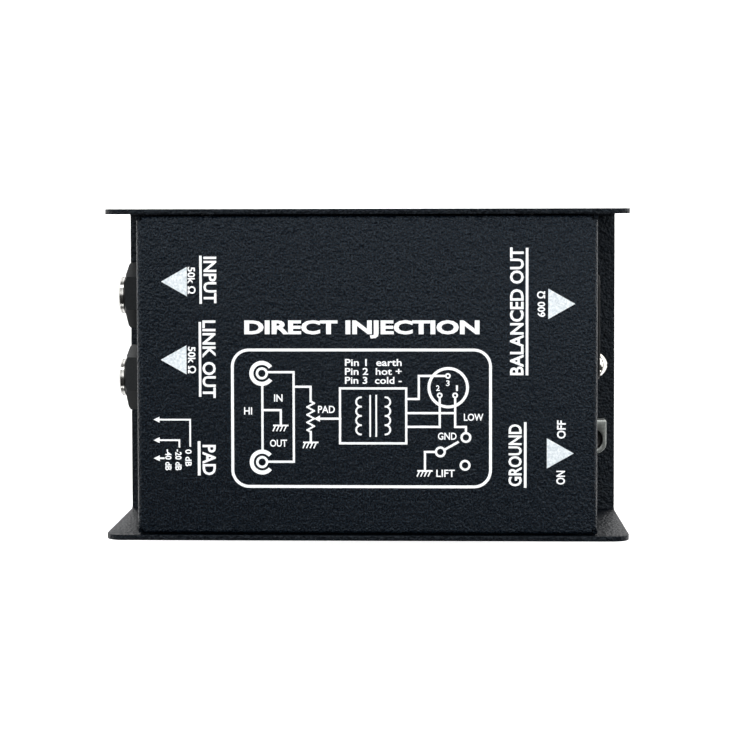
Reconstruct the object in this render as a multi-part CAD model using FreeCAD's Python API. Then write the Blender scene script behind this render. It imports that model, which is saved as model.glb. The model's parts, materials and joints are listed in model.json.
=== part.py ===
import FreeCAD, Part
import math
import os

os.makedirs("parts", exist_ok=True)

# A passive direct injection (DI) box for stage and studio use.
# Frame: millimetres, +Z up, origin on the surface under the feet, below the middle of the case.
# X runs along the case: -X is the end with the two 6.35 mm jacks, +X the end with the XLR socket.
# Y runs across the case, between the two guard walls.

Vector = FreeCAD.Vector
X_AXIS = Vector(1, 0, 0)
Y_AXIS = Vector(0, 1, 0)
Z_AXIS = Vector(0, 0, 1)

# ---------------------------------------------------------------- driving dimensions

# U-shaped chassis: the base plate and the two guard walls
chassis_length = 130.0
inner_width = 79.5
case_height = 44.0
chassis_sheet = 1.3
chassis_bend = 1.0
wall_corner_radius = 4.0

# Rubber feet under the base plate
foot_diameter = 10.0
foot_height = 2.0
foot_edge = 0.6
foot_inset_x = 14.0
foot_inset_y = 12.0

# Folded cover: the top plate, the two end panels and the two side lips.
# The guard walls run past its end panels by guard_reach.
guard_reach = 8.1
cover_gap = 0.3
cover_sheet = 1.0
cover_bend = 0.25
cover_drop = 0.35
cover_floor_gap = 0.3
panel_corner_radius = 1.5
lip_depth = 13.0
lip_end_gap = 0.4

# Countersunk screws that hold the cover between the walls, and their clinch nuts
cover_screw_spacing = 80.0
cover_screw_depth = 7.5
screw_thread = 3.0
screw_hole_clearance = 0.15
thread_clearance = 0.05
countersunk_head = 5.5
countersunk_height = 1.2
cover_screw_reach = 3.6
clinch_nut_diameter = 6.2
clinch_nut_height = 2.2
recess_share = 0.52
recess_depth_share = 0.75
recess_arm_share = 0.3

# Circuit board
board_thickness = 1.6
board_panel_gap = 1.0
board_side_gap = 3.5
board_notch_margin = 2.0
lead_hole_clearance = 0.1

# 6.35 mm jacks in the left end panel
input_jack_y = 18.9
link_jack_y = -2.3
jack_bore_radius = 3.2
jack_bush_radius = 4.7
jack_bush_reach = 7.15
jack_bush_chamfer = 0.4
jack_flange_rim = 1.3
jack_flange_thickness = 1.2
jack_hole_clearance = 0.2
jack_nut_wall = 2.6
jack_nut_height = 4.5
input_nut_lean = 6.0
link_nut_lean = 11.0
hexagon_flat_up = 30.0
nut_corner_slope = 1.6
jack_nut_chamfer = 0.35
jack_washer_rim = 2.3
jack_washer_thickness = 0.5
jack_housing_width = 16.0
jack_housing_height = 16.0
jack_housing_length = 24.0
jack_tunnel_gap = 0.4
contact_thickness = 0.4
contact_width = 2.8
tip_contact_depth = 2.5
sleeve_contact_gap = 0.05
contact_slot_clearance = 0.3
contact_room = 2.4
tip_contact_setback = 13.0
tip_contact_seat = 1.4
sleeve_contact_setback = 6.0
sleeve_contact_length = 8.5
sleeve_contact_seat = 1.0
jack_housing_edge = 1.0

# Slide switches that stand on the board, with their knobs through the end panels
switch_depth = 7.5
switch_height = 9.0
switch_sheet = 0.5
switch_base_thickness = 1.2
switch_carriage_depth = 3.4
switch_running_gap = 0.3
knob_slot_gap = 0.4
knob_height = 5.0
terminal_width = 0.9
terminal_thickness = 0.4
terminal_row_offset = 1.8
terminal_below_board = 1.5
terminal_setback = 1.0
terminal_row_setback = 2.6
contact_gap = 0.1
bridge_width = 1.2
bridge_length = 6.0

# Three-position input pad switch, left end
pad_switch_y = -22.0
pad_step = 3.5
pad_knob_length = 6.0
pad_knob_reach = 2.55
pad_carriage_length = 11.0
pad_terminal_pitch = 3.5
pad_terminal_count = 4
pad_knob_edge = 0.5
pad_groove_count = 3
pad_groove_width = 0.6
pad_groove_depth = 0.5

# Two-position ground lift switch, right end, drawn at OFF
ground_switch_y = -19.9
ground_throw = 4.2
ground_knob_length = 8.5
ground_knob_reach = 4.15
ground_knob_end_radius = 2.6
ground_scoop_radius = 2.9
ground_scoop_depth = 2.4
ground_scoop_end_wall = 0.7
ground_scoop_setback = 0.3
ground_scoop_floor = 0.1
ground_carriage_length = 11.0
ground_terminal_pitch = 4.2
ground_terminal_count = 3
ground_knob_edge = 0.4

# Three-pin male XLR socket in the right end panel
xlr_y = 11.4
xlr_flange_rim_y = 1.25
xlr_flange_rim_z = 3.75
xlr_flange_thickness = 1.0
xlr_flange_corner = 3.0
xlr_cavity_radius = 9.6
xlr_cavity_depth = 15.0
xlr_seat_step = 0.8
xlr_barrel_wall = 1.3
xlr_barrel_clearance = 0.25
xlr_insert_clearance = 0.05
xlr_insert_thickness = 5.5
xlr_pin_radius = 1.2
xlr_pin_tip_share = 0.6
xlr_pin_circle = 4.75
xlr_pin_reach = 12.5
xlr_pin_collar_radius = 1.7
xlr_pin_collar_length = 1.0
xlr_tail_radius = 1.1
xlr_tail_length = 4.5
xlr_mouth_chamfer = 0.8
xlr_key_width = 3.0
xlr_key_depth = 1.0
xlr_screw_gap = 3.55
xlr_screw_angle = 51.6
pan_head_diameter = 5.6
pan_head_height = 2.2
pan_head_edge = 0.6
xlr_screw_length = 8.0
xlr_nut_flats = 5.5
xlr_nut_height = 2.4
xlr_nut_chamfer = 0.3

# Audio transformer on the board
transformer_jack_gap = 3.0
transformer_y = 8.0
core_length = 24.0
core_height = 20.0
core_stack = 9.0
core_leg = 4.0
bobbin_wall = 0.8
bobbin_clearance = 0.1
winding_thickness = 2.4
winding_end_gap = 0.1
winding_corner = 1.6
clamp_sheet = 0.6
clamp_width = 9.0
clamp_tab = 5.0
tape_clearance = 0.1

# Pad resistors on the board
resistor_count = 4
resistor_pitch = 4.5
resistor_body_length = 6.3
resistor_body_radius = 1.2
resistor_bulge = 0.25
resistor_cap_length = 1.6
resistor_lead_radius = 0.3
resistor_lead_span = 10.2
resistor_first_y = -19.0
resistor_x = 2.0
resistor_lead_below = 1.5

# Wires inside the box
hookup_radius = 0.55
wire_straight = 7.0
wire_fall = 7.5
wire_lap = 6.5
earth_wire_straight = 8.0
earth_wire_fall = 9.0
earth_wire_lap = 7.0
lug_thickness = 0.5
lug_radius = 3.2
lug_tail_length = 5.5
lug_tail_width = 3.0

# ---------------------------------------------------------------- derived places

base_bottom = foot_height
base_top = base_bottom + chassis_sheet
wall_top = base_bottom + case_height
chassis_half = chassis_length / 2
wall_inner = inner_width / 2
wall_outer = wall_inner + chassis_sheet

panel_outer = chassis_half - guard_reach
panel_inner = panel_outer - cover_sheet
cover_half_width = wall_inner - cover_gap
cover_top = wall_top - cover_drop
cover_ceiling = cover_top - cover_sheet
cover_bottom = base_top + cover_floor_gap
cover_outer_bend = cover_bend + cover_sheet
cover_screw_z = wall_top - cover_screw_depth
connector_height = (cover_bottom + cover_top) / 2
screw_hole_radius = screw_thread / 2 + screw_hole_clearance

jack_flange_radius = jack_bush_radius + jack_flange_rim
jack_nut_flats = 2 * (jack_bush_radius + jack_nut_wall)
jack_tunnel_radius = jack_bore_radius + jack_tunnel_gap
jack_back = -panel_inner + jack_housing_length

board_top = connector_height - jack_housing_height / 2
board_bottom = board_top - board_thickness
board_end = panel_inner - board_panel_gap
board_side = cover_half_width - cover_sheet - board_side_gap
switch_height_z = board_top + switch_height / 2

xlr_insert_radius = xlr_cavity_radius + xlr_seat_step
xlr_barrel_radius = xlr_insert_radius + xlr_insert_clearance + xlr_barrel_wall
xlr_face = panel_outer + xlr_flange_thickness
xlr_insert_front = xlr_face - xlr_cavity_depth
xlr_insert_back = xlr_insert_front - xlr_insert_thickness
xlr_tail_end = xlr_insert_back - xlr_pin_collar_length - xlr_tail_length
board_notch_x = xlr_tail_end - board_notch_margin
board_notch_y = xlr_y - xlr_barrel_radius - board_notch_margin

winding_reach = bobbin_clearance + bobbin_wall + winding_thickness
transformer_x = jack_back + transformer_jack_gap + core_stack / 2 + winding_reach


# ---------------------------------------------------------------- helpers

def save(name, shape):
    """Write one named piece to its own STEP file and say how large it is."""
    shape.exportStep("parts/" + name + ".step")
    print(name, "solids", len(shape.Solids), "volume", round(shape.Volume, 2), "valid", shape.isValid())


def box(x_range, y_range, z_range):
    """A block between three pairs of limits, given in either order."""
    low = Vector(min(x_range), min(y_range), min(z_range))
    high = Vector(max(x_range), max(y_range), max(z_range))
    size = high - low
    return Part.makeBox(size.x, size.y, size.z, low)


def span(centre, length):
    """The two limits of a stretch about its centre."""
    return (centre - length / 2, centre + length / 2)


def round_edges(shape, radius, direction, chosen):
    """Fillet the straight edges that run along a direction and whose middle is chosen."""
    edges = []
    for edge in shape.Edges:
        run = edge.Vertexes[-1].Point - edge.Vertexes[0].Point
        if run.Length < 1e-6 or not isinstance(edge.Curve, Part.Line):
            continue
        run.normalize()
        if abs(run.dot(direction)) > 0.999 and chosen(edge.CenterOfMass):
            edges.append(edge)
    return shape.makeFillet(radius, edges)


def stand(shape, place, outward):
    """Take a piece drawn about +Z at the origin, and point its +Z outward at a place."""
    turned = shape.copy()
    turned.Placement = FreeCAD.Placement(place, FreeCAD.Rotation(Z_AXIS, outward))
    return turned


def ring(outer_radius, inner_radius, height):
    """A flat ring or a tube about +Z, standing on the origin."""
    outside = Part.makeCylinder(outer_radius, height)
    inside = Part.makeCylinder(inner_radius, height + 2, Vector(0, 0, -1))
    return outside.cut(inside)


def hexagon(across_flats, height, turn=0.0):
    """A hexagonal prism about +Z, standing on the origin."""
    corner = across_flats / math.sqrt(3)
    points = []
    for index in range(7):
        angle = math.radians(60 * index + turn)
        points.append(Vector(corner * math.cos(angle), corner * math.sin(angle), 0))
    return Part.Face(Part.makePolygon(points)).extrude(Vector(0, 0, height))


def hexagon_nut(across_flats, height, hole_radius, chamfer, turn=0.0):
    """A hexagonal nut about +Z, its outer corners and its hole chamfered on the upper face."""
    corner = across_flats / math.sqrt(3)
    lower = Part.makeCylinder(corner, height - chamfer)
    top_radius = corner - nut_corner_slope * chamfer
    upper = Part.makeCone(corner, top_radius, chamfer, Vector(0, 0, height - chamfer))
    blank = hexagon(across_flats, height, turn).common(lower.fuse(upper))
    hole = Part.makeCylinder(hole_radius, height + 2, Vector(0, 0, -1))
    mouth = Part.makeCone(hole_radius, hole_radius + chamfer, chamfer, Vector(0, 0, height - chamfer))
    return blank.cut(hole.fuse(mouth))


def cross_recess(size, depth):
    """The cross-shaped driver recess, cut down from z = 0."""
    arm = recess_arm_share * size
    bar_a = box(span(0, size), span(0, arm), (-depth, 1))
    bar_b = box(span(0, arm), span(0, size), (-depth, 1))
    return bar_a.fuse(bar_b)


def join(pieces):
    """Fuse a list of touching solids into one solid."""
    whole = pieces[0]
    for piece in pieces[1:]:
        whole = whole.fuse(piece)
    return whole.removeSplitter()


def rounded_route(points):
    """Straight runs joined by tangent arcs, each arc as large as its two runs allow."""
    edges = []
    start = points[0]
    for before, corner, after in zip(points, points[1:], points[2:]):
        into = corner - before
        onward = after - corner
        shorter = min(into.Length, onward.Length)
        into.normalize()
        onward.normalize()
        half_turn = into.getAngle(onward) / 2
        cut_back = 0.45 * shorter
        print("  bend radius", round(cut_back / math.tan(half_turn), 2))
        arc_start = corner - into * cut_back
        arc_end = corner + onward * cut_back
        bisector = onward - into
        bisector.normalize()
        radius = cut_back / math.tan(half_turn)
        arc_middle = corner + bisector * (radius / math.cos(half_turn) - radius)
        edges.append(Part.LineSegment(start, arc_start).toShape())
        edges.append(Part.Arc(arc_start, arc_middle, arc_end).toShape())
        start = arc_end
    edges.append(Part.LineSegment(start, points[-1]).toShape())
    return Part.Wire(edges)


def hookup_wire(points, radius):
    """An insulated wire of round section along a route."""
    route = rounded_route(points)
    section = Part.Wire(Part.makeCircle(radius, points[0], points[1] - points[0]))
    tube = route.makePipeShell([section], True, True)
    expected = math.pi * radius ** 2 * route.Length
    print("  wire length", round(route.Length, 1), "volume ratio", round(tube.Volume / expected, 3))
    return tube


# ---------------------------------------------------------------- case

def cover_screw_places():
    """Where the four cover screws stand on the walls' outer faces, with their outward axes."""
    places = []
    for x in (-cover_screw_spacing / 2, cover_screw_spacing / 2):
        for side in (-1, 1):
            places.append((Vector(x, side * wall_outer, cover_screw_z), Vector(0, side, 0)))
    return places


def make_base_channel():
    """Base plate and guard walls, folded from one sheet, with four countersunk screw holes."""
    blank = box(span(0, chassis_length), span(0, 2 * wall_outer), (base_bottom, wall_top))
    blank = round_edges(blank, chassis_bend + chassis_sheet, X_AXIS, lambda p: p.z < base_top)
    hollow = box(span(0, chassis_length + 2), span(0, inner_width), (base_top, wall_top + 1))
    hollow = round_edges(hollow, chassis_bend, X_AXIS, lambda p: p.z < base_top + 0.1)
    channel = blank.cut(hollow)
    channel = round_edges(channel, wall_corner_radius, Y_AXIS, lambda p: p.z > wall_top - 0.1)
    for place, outward in cover_screw_places():
        hole = Part.makeCylinder(screw_hole_radius, 4 * chassis_sheet, Vector(0, 0, -3 * chassis_sheet))
        sink_low = -countersunk_height
        sink = Part.makeCone(screw_hole_radius, countersunk_head / 2 + 0.1, countersunk_height,
                             Vector(0, 0, sink_low))
        channel = channel.cut(stand(hole.fuse(sink), place, outward))
    return channel


def make_rubber_feet():
    """Four self-adhesive rubber feet under the base plate."""
    feet = []
    for x in (-chassis_half + foot_inset_x, chassis_half - foot_inset_x):
        for y in (-wall_inner + foot_inset_y, wall_inner - foot_inset_y):
            straight = Part.makeCylinder(foot_diameter / 2, foot_height - foot_edge, Vector(x, y, foot_edge))
            edge = Part.makeCone(foot_diameter / 2 - foot_edge, foot_diameter / 2, foot_edge, Vector(x, y, 0))
            feet.append(join([straight, edge]))
    return Part.makeCompound(feet)


def jack_hole(y):
    """The panel hole of one jack bush."""
    radius = jack_bush_radius + jack_hole_clearance
    start = Vector(-panel_outer - 1, y, connector_height)
    return Part.makeCylinder(radius, cover_sheet + 2, start, X_AXIS)


def knob_slot(side, y, knob_length, throw):
    """The panel slot that a switch knob slides in."""
    x_range = (side * (panel_inner - 1), side * (panel_outer + 1))
    y_range = span(y, knob_length + throw + 2 * knob_slot_gap)
    return box(x_range, y_range, span(switch_height_z, knob_height + 2 * knob_slot_gap))


def xlr_screw_places():
    """The two screws of the XLR flange, on its diagonal, as (y, z)."""
    reach = xlr_barrel_radius + xlr_screw_gap
    half_y = reach * math.cos(math.radians(xlr_screw_angle))
    half_z = reach * math.sin(math.radians(xlr_screw_angle))
    return [(xlr_y - half_y, connector_height + half_z), (xlr_y + half_y, connector_height - half_z)]


def make_top_cover():
    """Top plate, end panels and side lips, folded from one sheet with open corner reliefs."""
    relief = cover_outer_bend
    end_width = 2 * (cover_half_width - relief)
    ends = box(span(0, 2 * panel_outer), span(0, end_width), (cover_ceiling - relief, cover_top))
    ends = round_edges(ends, cover_outer_bend, Y_AXIS, lambda p: p.z > cover_ceiling)
    under = box(span(0, 2 * panel_inner), span(0, end_width + 2), (cover_ceiling - relief - 1, cover_ceiling))
    under = round_edges(under, cover_bend, Y_AXIS, lambda p: p.z > cover_ceiling - 0.1)
    ends = ends.cut(under)

    lip_length = 2 * (panel_inner - lip_end_gap)
    lip_bottom = cover_top - lip_depth
    lips = box(span(0, lip_length), span(0, 2 * cover_half_width), (lip_bottom, cover_top))
    lips = round_edges(lips, cover_outer_bend, X_AXIS, lambda p: p.z > cover_ceiling)
    lip_inner = cover_half_width - cover_sheet
    between = box(span(0, lip_length + 2), span(0, 2 * lip_inner), (lip_bottom - 1, cover_ceiling))
    between = round_edges(between, cover_bend, X_AXIS, lambda p: p.z > cover_ceiling - 0.1)
    lips = lips.cut(between)

    pieces = [ends, lips]
    for side in (-1, 1):
        panel_x = (side * panel_inner, side * panel_outer)
        panel = box(panel_x, span(0, 2 * cover_half_width), (cover_bottom, cover_top - relief))
        pieces.append(round_edges(panel, panel_corner_radius, X_AXIS, lambda p: p.z < cover_bottom + 0.1))
    cover = join(pieces)

    cover = cover.cut(jack_hole(input_jack_y)).cut(jack_hole(link_jack_y))
    cover = cover.cut(knob_slot(-1, pad_switch_y, pad_knob_length, 2 * pad_step))
    cover = cover.cut(knob_slot(1, ground_switch_y, ground_knob_length, ground_throw))
    barrel_hole = xlr_barrel_radius + xlr_barrel_clearance
    cover = cover.cut(Part.makeCylinder(barrel_hole, cover_sheet + 2,
                                        Vector(panel_inner - 1, xlr_y, connector_height), X_AXIS))
    for y, z in xlr_screw_places():
        cover = cover.cut(Part.makeCylinder(screw_hole_radius, cover_sheet + 2,
                                            Vector(panel_inner - 1, y, z), X_AXIS))
    for place, outward in cover_screw_places():
        hole = Part.makeCylinder(screw_hole_radius, 8, Vector(0, 0, -7))
        cover = cover.cut(stand(hole, place, outward))
    return cover


def make_cover_screws():
    """Four countersunk screws, flush with the walls' outer faces."""
    screws = []
    radius = screw_thread / 2 - thread_clearance
    for place, outward in cover_screw_places():
        head = Part.makeCone(radius, countersunk_head / 2, countersunk_height,
                             Vector(0, 0, -countersunk_height))
        shank_length = chassis_sheet + cover_gap + cover_screw_reach
        shank = Part.makeCylinder(radius, shank_length, Vector(0, 0, -shank_length))
        recess = cross_recess(recess_share * countersunk_head, recess_depth_share * countersunk_height)
        screw = join([head, shank]).cut(recess)
        screws.append(stand(screw, place, outward))
    return Part.makeCompound(screws)


def make_cover_nuts():
    """Four clinch nuts on the inner faces of the cover's side lips."""
    nuts = []
    setback = chassis_sheet + cover_gap + cover_sheet
    for place, outward in cover_screw_places():
        nut = ring(clinch_nut_diameter / 2, screw_thread / 2, clinch_nut_height)
        nuts.append(stand(nut, place - outward * setback, outward * -1))
    return Part.makeCompound(nuts)


# ---------------------------------------------------------------- jacks

def make_jack_bush(y):
    """Plated bush: the tube that the plug enters, with a flange behind the panel."""
    length = jack_bush_reach + cover_sheet + jack_flange_thickness
    tube = Part.makeCylinder(jack_bush_radius, length)
    rim = [edge for edge in tube.Edges if edge.BoundBox.ZMin > length - 0.01]
    tube = tube.makeChamfer(jack_bush_chamfer, rim)
    flange = Part.makeCylinder(jack_flange_radius, jack_flange_thickness)
    bore = Part.makeCylinder(jack_bore_radius, length + 2, Vector(0, 0, -1))
    bush = join([tube, flange]).cut(bore)
    back = -panel_inner + jack_flange_thickness
    return stand(bush, Vector(back, y, connector_height), Vector(-1, 0, 0))


def make_jack_washer(y):
    """Flat washer between the end panel and the nut."""
    hole_radius = jack_bush_radius + thread_clearance
    washer = ring(jack_bush_radius + jack_washer_rim, hole_radius, jack_washer_thickness)
    return stand(washer, Vector(-panel_outer, y, connector_height), Vector(-1, 0, 0))


def make_jack_nut(y, lean):
    """Moulded hexagonal nut, whose top flat leans a little towards +Y where the tightening stopped."""
    hole_radius = jack_bush_radius + thread_clearance
    turn = hexagon_flat_up + lean
    nut = hexagon_nut(jack_nut_flats, jack_nut_height, hole_radius, jack_nut_chamfer, turn)
    start = Vector(-panel_outer - jack_washer_thickness, y, connector_height)
    return stand(nut, start, Vector(-1, 0, 0))


def contact_channels(y):
    """The two slots of a jack housing that its contact springs lie in, as (upper, lower)."""
    width = contact_width + 2 * contact_slot_clearance
    front = -panel_inner + sleeve_contact_setback - contact_room
    middle = -panel_inner + tip_contact_setback - contact_room
    side = span(y, width)
    reach = jack_tunnel_radius + contact_room
    upper = box((middle, jack_back + 1), side, (connector_height, connector_height + reach))
    lower = box((front, front + sleeve_contact_length + 2 * contact_room), side,
                (connector_height - reach, connector_height))
    return upper, lower


def tip_contact_tail(y):
    """The tip contact's leg, behind the housing and down through the board."""
    z_range = (board_bottom - terminal_below_board, connector_height + jack_tunnel_radius + tip_contact_seat)
    return box((jack_back, jack_back + contact_thickness), span(y, contact_width), z_range)


def sleeve_contact_tail(y):
    """The sleeve contact's leg, down through the housing's floor and the board."""
    x = -panel_inner + sleeve_contact_setback
    z_range = (board_bottom - terminal_below_board, connector_height - jack_tunnel_radius - sleeve_contact_seat)
    return box((x, x + contact_thickness), span(y, contact_width), z_range)


def grown(leg):
    """A leg's block with the lead clearance round it, for the hole that it passes through."""
    limits = leg.BoundBox
    extra = lead_hole_clearance
    return box((limits.XMin - extra, limits.XMax + extra), (limits.YMin - extra, limits.YMax + extra),
               (limits.ZMin - 1, limits.ZMax + extra))


def make_jack_housing(y):
    """Moulded housing behind the panel, with the plug tunnel and the slots for the contacts."""
    block = box((-panel_inner, jack_back), span(y, jack_housing_width),
                span(connector_height, jack_housing_height))
    block = round_edges(block, jack_housing_edge, X_AXIS, lambda p: p.z > connector_height)
    start = Vector(-panel_inner - 1, y, connector_height)
    tunnel = Part.makeCylinder(jack_tunnel_radius, jack_housing_length + 2, start, X_AXIS)
    recess_radius = jack_flange_radius + thread_clearance
    recess = Part.makeCylinder(recess_radius, jack_flange_thickness + 1, start, X_AXIS)
    upper, lower = contact_channels(y)
    block = block.cut(tunnel).cut(recess).cut(upper).cut(lower)
    return block.cut(grown(sleeve_contact_tail(y)))


def leaf(points, thickness, y, width):
    """A bent spring leaf: points (x, z) along one face, its thickness measured in Z."""
    outline = [Vector(x, y - width / 2, z) for x, z in points]
    outline += [Vector(x, y - width / 2, z + thickness) for x, z in reversed(points)]
    outline.append(outline[0])
    return Part.Face(Part.makePolygon(outline)).extrude(Vector(0, width, 0))


def make_tip_contact(y):
    """Upper spring: its bent nose presses on the plug's tip."""
    front = -panel_inner + tip_contact_setback
    high = connector_height + jack_tunnel_radius + tip_contact_seat - contact_thickness
    low = connector_height + tip_contact_depth
    points = [(jack_back + contact_thickness, high), (front + 6.0, high - 0.3), (front + 3.0, low),
              (front + 0.6, high - 0.6)]
    return join([leaf(points, contact_thickness, y, contact_width), tip_contact_tail(y)])


def make_sleeve_contact(y):
    """Lower spring: its bent nose presses on the plug's sleeve near the mouth."""
    front = -panel_inner + sleeve_contact_setback
    low = connector_height - jack_tunnel_radius - sleeve_contact_seat - contact_thickness
    high = connector_height - jack_bore_radius - sleeve_contact_gap - contact_thickness
    back = front + sleeve_contact_length
    points = [(front, low), (back - 4.5, low), (back - 2.0, high), (back, low + 0.4)]
    return join([leaf(points, contact_thickness, y, contact_width), sleeve_contact_tail(y)])


# ---------------------------------------------------------------- slide switches

def switch_inner_length(carriage_length, throw):
    """The room along Y inside a switch frame."""
    return carriage_length + throw + 2 * switch_running_gap


def make_switch_frame(side, y, knob_length, carriage_length, throw):
    """Sheet metal frame: a front plate with the knob's slot, and four walls, open at the back."""
    inner = switch_inner_length(carriage_length, throw)
    back = panel_inner - switch_depth
    outer_y = span(y, inner + 2 * switch_sheet)
    shell = box((side * panel_inner, side * back), outer_y, span(switch_height_z, switch_height))
    room_height = switch_height - 2 * switch_sheet
    room = box((side * (panel_inner - switch_sheet), side * (back - 1)), span(y, inner),
               span(switch_height_z, room_height))
    slot = box((side * (panel_inner - 2), side * (panel_inner + 1)),
               span(y, knob_length + throw + 2 * knob_slot_gap),
               span(switch_height_z, knob_height + 2 * knob_slot_gap))
    return shell.cut(room).cut(slot)


def switch_base_front():
    """Distance from the middle of the case to the front face of a switch's insulating base."""
    return panel_inner - switch_depth + switch_base_thickness


def make_switch_base(side, y, carriage_length, throw, pitch, count):
    """Insulating plate that closes the frame at the back and carries the terminals."""
    inner = switch_inner_length(carriage_length, throw)
    x_range = (side * (panel_inner - switch_depth), side * switch_base_front())
    plate = box(x_range, span(y, inner), span(switch_height_z, switch_height - 2 * switch_sheet))
    for terminal_y, row in terminal_places(y, pitch, count):
        z_range = span(switch_height_z + row * terminal_row_offset, terminal_thickness)
        plate = plate.cut(box((side * (panel_inner - switch_depth - 1), side * (switch_base_front() + 1)),
                              span(terminal_y, terminal_width), z_range))
    return plate


def terminal_places(y, pitch, count):
    """Where a switch's terminals stand: along Y in two rows, lower (-1) and upper (1)."""
    places = []
    for index in range(count):
        for row in (-1, 1):
            places.append((y + (index - (count - 1) / 2) * pitch, row))
    return places


def terminal_leg(side, terminal_y, row):
    """A terminal's leg, behind the switch and down through the board."""
    setback = terminal_setback + (row + 1) * terminal_row_setback / 2
    x = panel_inner - switch_depth - setback
    z_top = switch_height_z + row * terminal_row_offset + terminal_thickness / 2
    return box((side * x, side * (x + terminal_thickness)), span(terminal_y, terminal_width),
               (board_bottom - terminal_below_board, z_top))


def make_switch_terminals(side, y, pitch, count):
    """The terminals: each passes back through the base, and turns down to the board."""
    terminals = []
    for terminal_y, row in terminal_places(y, pitch, count):
        leg = terminal_leg(side, terminal_y, row)
        back = min(abs(leg.BoundBox.XMin), abs(leg.BoundBox.XMax))
        z_range = span(switch_height_z + row * terminal_row_offset, terminal_thickness)
        arm = box((side * back, side * switch_base_front()), span(terminal_y, terminal_width), z_range)
        terminals.append(join([arm, leg]))
    return Part.makeCompound(terminals)


def carriage_front():
    """Distance from the middle of the case to the front face of a switch's carriage."""
    return panel_inner - switch_sheet - switch_running_gap


def make_switch_contact(side, y):
    """Bridging contact on the back of the carriage, which slides over the terminals."""
    back = carriage_front() - switch_carriage_depth
    nose = switch_base_front() + contact_gap
    strips = []
    for row in (-1, 1):
        z_range = span(switch_height_z + row * terminal_row_offset, bridge_width)
        strips.append(box((side * nose, side * back), span(y, bridge_length), z_range))
    return Part.makeCompound(strips)


def make_carriage(side, y, carriage_length):
    """The block that carries a knob inside the switch frame."""
    front = carriage_front()
    height = switch_height - 2 * switch_sheet - 2 * switch_running_gap
    return box((side * front, side * (front - switch_carriage_depth)), span(y, carriage_length),
               span(switch_height_z, height))


def make_pad_slider():
    """Black slider of the pad switch: carriage and ribbed knob."""
    front = panel_outer + pad_knob_reach
    knob = box((-carriage_front(), -front), span(pad_switch_y, pad_knob_length),
               span(switch_height_z, knob_height))
    knob = round_edges(knob, pad_knob_edge, Z_AXIS, lambda p: p.x < -front + 0.1)
    for index in range(pad_groove_count):
        step = pad_knob_length / (pad_groove_count + 1)
        groove_y = pad_switch_y + (index - (pad_groove_count - 1) / 2) * step
        knob = knob.cut(box((-front - 1, -front + pad_groove_depth), span(groove_y, pad_groove_width),
                            span(switch_height_z, knob_height + 2)))
    return join([make_carriage(-1, pad_switch_y, pad_carriage_length), knob])


def make_ground_slider():
    """Plated slider of the ground switch: carriage and a knob with a round thumb scoop."""
    y = ground_switch_y + ground_throw / 2
    front = panel_outer + ground_knob_reach
    knob = box((carriage_front(), front), span(y, ground_knob_length), span(switch_height_z, knob_height))
    near_end = y - ground_knob_length / 2
    knob = round_edges(knob, ground_knob_end_radius, Z_AXIS,
                       lambda p: p.x > front - 0.1 and p.y < near_end + 0.1)
    knob = round_edges(knob, ground_knob_edge, Z_AXIS,
                       lambda p: p.x > front - 0.1 and p.y > y)
    scoop_top = switch_height_z + knob_height / 2
    scoop_y = near_end + ground_scoop_end_wall + ground_scoop_radius
    scoop_base = Vector(panel_outer + ground_scoop_setback, scoop_y, scoop_top - ground_scoop_depth)
    scoop = Part.makeCylinder(ground_scoop_radius, ground_scoop_depth + 1, scoop_base)
    outside = box((panel_outer + ground_scoop_floor, front + 1), span(y, ground_knob_length + 2),
                  span(switch_height_z, 4 * knob_height))
    knob = knob.cut(scoop.common(outside))
    return join([make_carriage(1, y, ground_carriage_length), knob])


# ---------------------------------------------------------------- XLR socket

def xlr_axis_place(x):
    """A point on the XLR socket's axis."""
    return Vector(x, xlr_y, connector_height)


def make_xlr_shell():
    """Black cast shell: square flange outside the panel, and the barrel through it."""
    flange = box((panel_outer, xlr_face), span(xlr_y, 2 * (xlr_barrel_radius + xlr_flange_rim_y)),
                 span(connector_height, 2 * (xlr_barrel_radius + xlr_flange_rim_z)))
    flange = round_edges(flange, xlr_flange_corner, X_AXIS, lambda p: True)
    barrel = Part.makeCylinder(xlr_barrel_radius, xlr_face - xlr_insert_back,
                               xlr_axis_place(xlr_insert_back), X_AXIS)
    shell = join([flange, barrel])
    cavity = Part.makeCylinder(xlr_cavity_radius, xlr_cavity_depth + 1,
                               xlr_axis_place(xlr_insert_front), X_AXIS)
    seat_radius = xlr_insert_radius + xlr_insert_clearance
    seat = Part.makeCylinder(seat_radius, xlr_insert_thickness + 1,
                             xlr_axis_place(xlr_insert_back - 1), X_AXIS)
    mouth = Part.makeCone(xlr_cavity_radius, xlr_cavity_radius + xlr_mouth_chamfer, xlr_mouth_chamfer,
                          xlr_axis_place(xlr_face - xlr_mouth_chamfer), X_AXIS)
    shell = shell.cut(cavity).cut(seat).cut(mouth)
    key_z = (connector_height + xlr_cavity_radius - 1, connector_height + xlr_cavity_radius + xlr_key_depth)
    shell = shell.cut(box((xlr_insert_front, xlr_face + 1), span(xlr_y, xlr_key_width), key_z))
    for y, z in xlr_screw_places():
        shell = shell.cut(Part.makeCylinder(screw_hole_radius, xlr_flange_thickness + 2,
                                            Vector(panel_outer - 1, y, z), X_AXIS))
    return shell


def xlr_pin_places():
    """The three pins by name, as (y, z), seen from outside: ground left, hot right, cold below."""
    places = {}
    for name, angle in (("ground", 135), ("hot", 45), ("cold", 270)):
        turn = math.radians(angle)
        y = xlr_y + xlr_pin_circle * math.cos(turn)
        places[name] = (y, connector_height + xlr_pin_circle * math.sin(turn))
    return places


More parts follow.
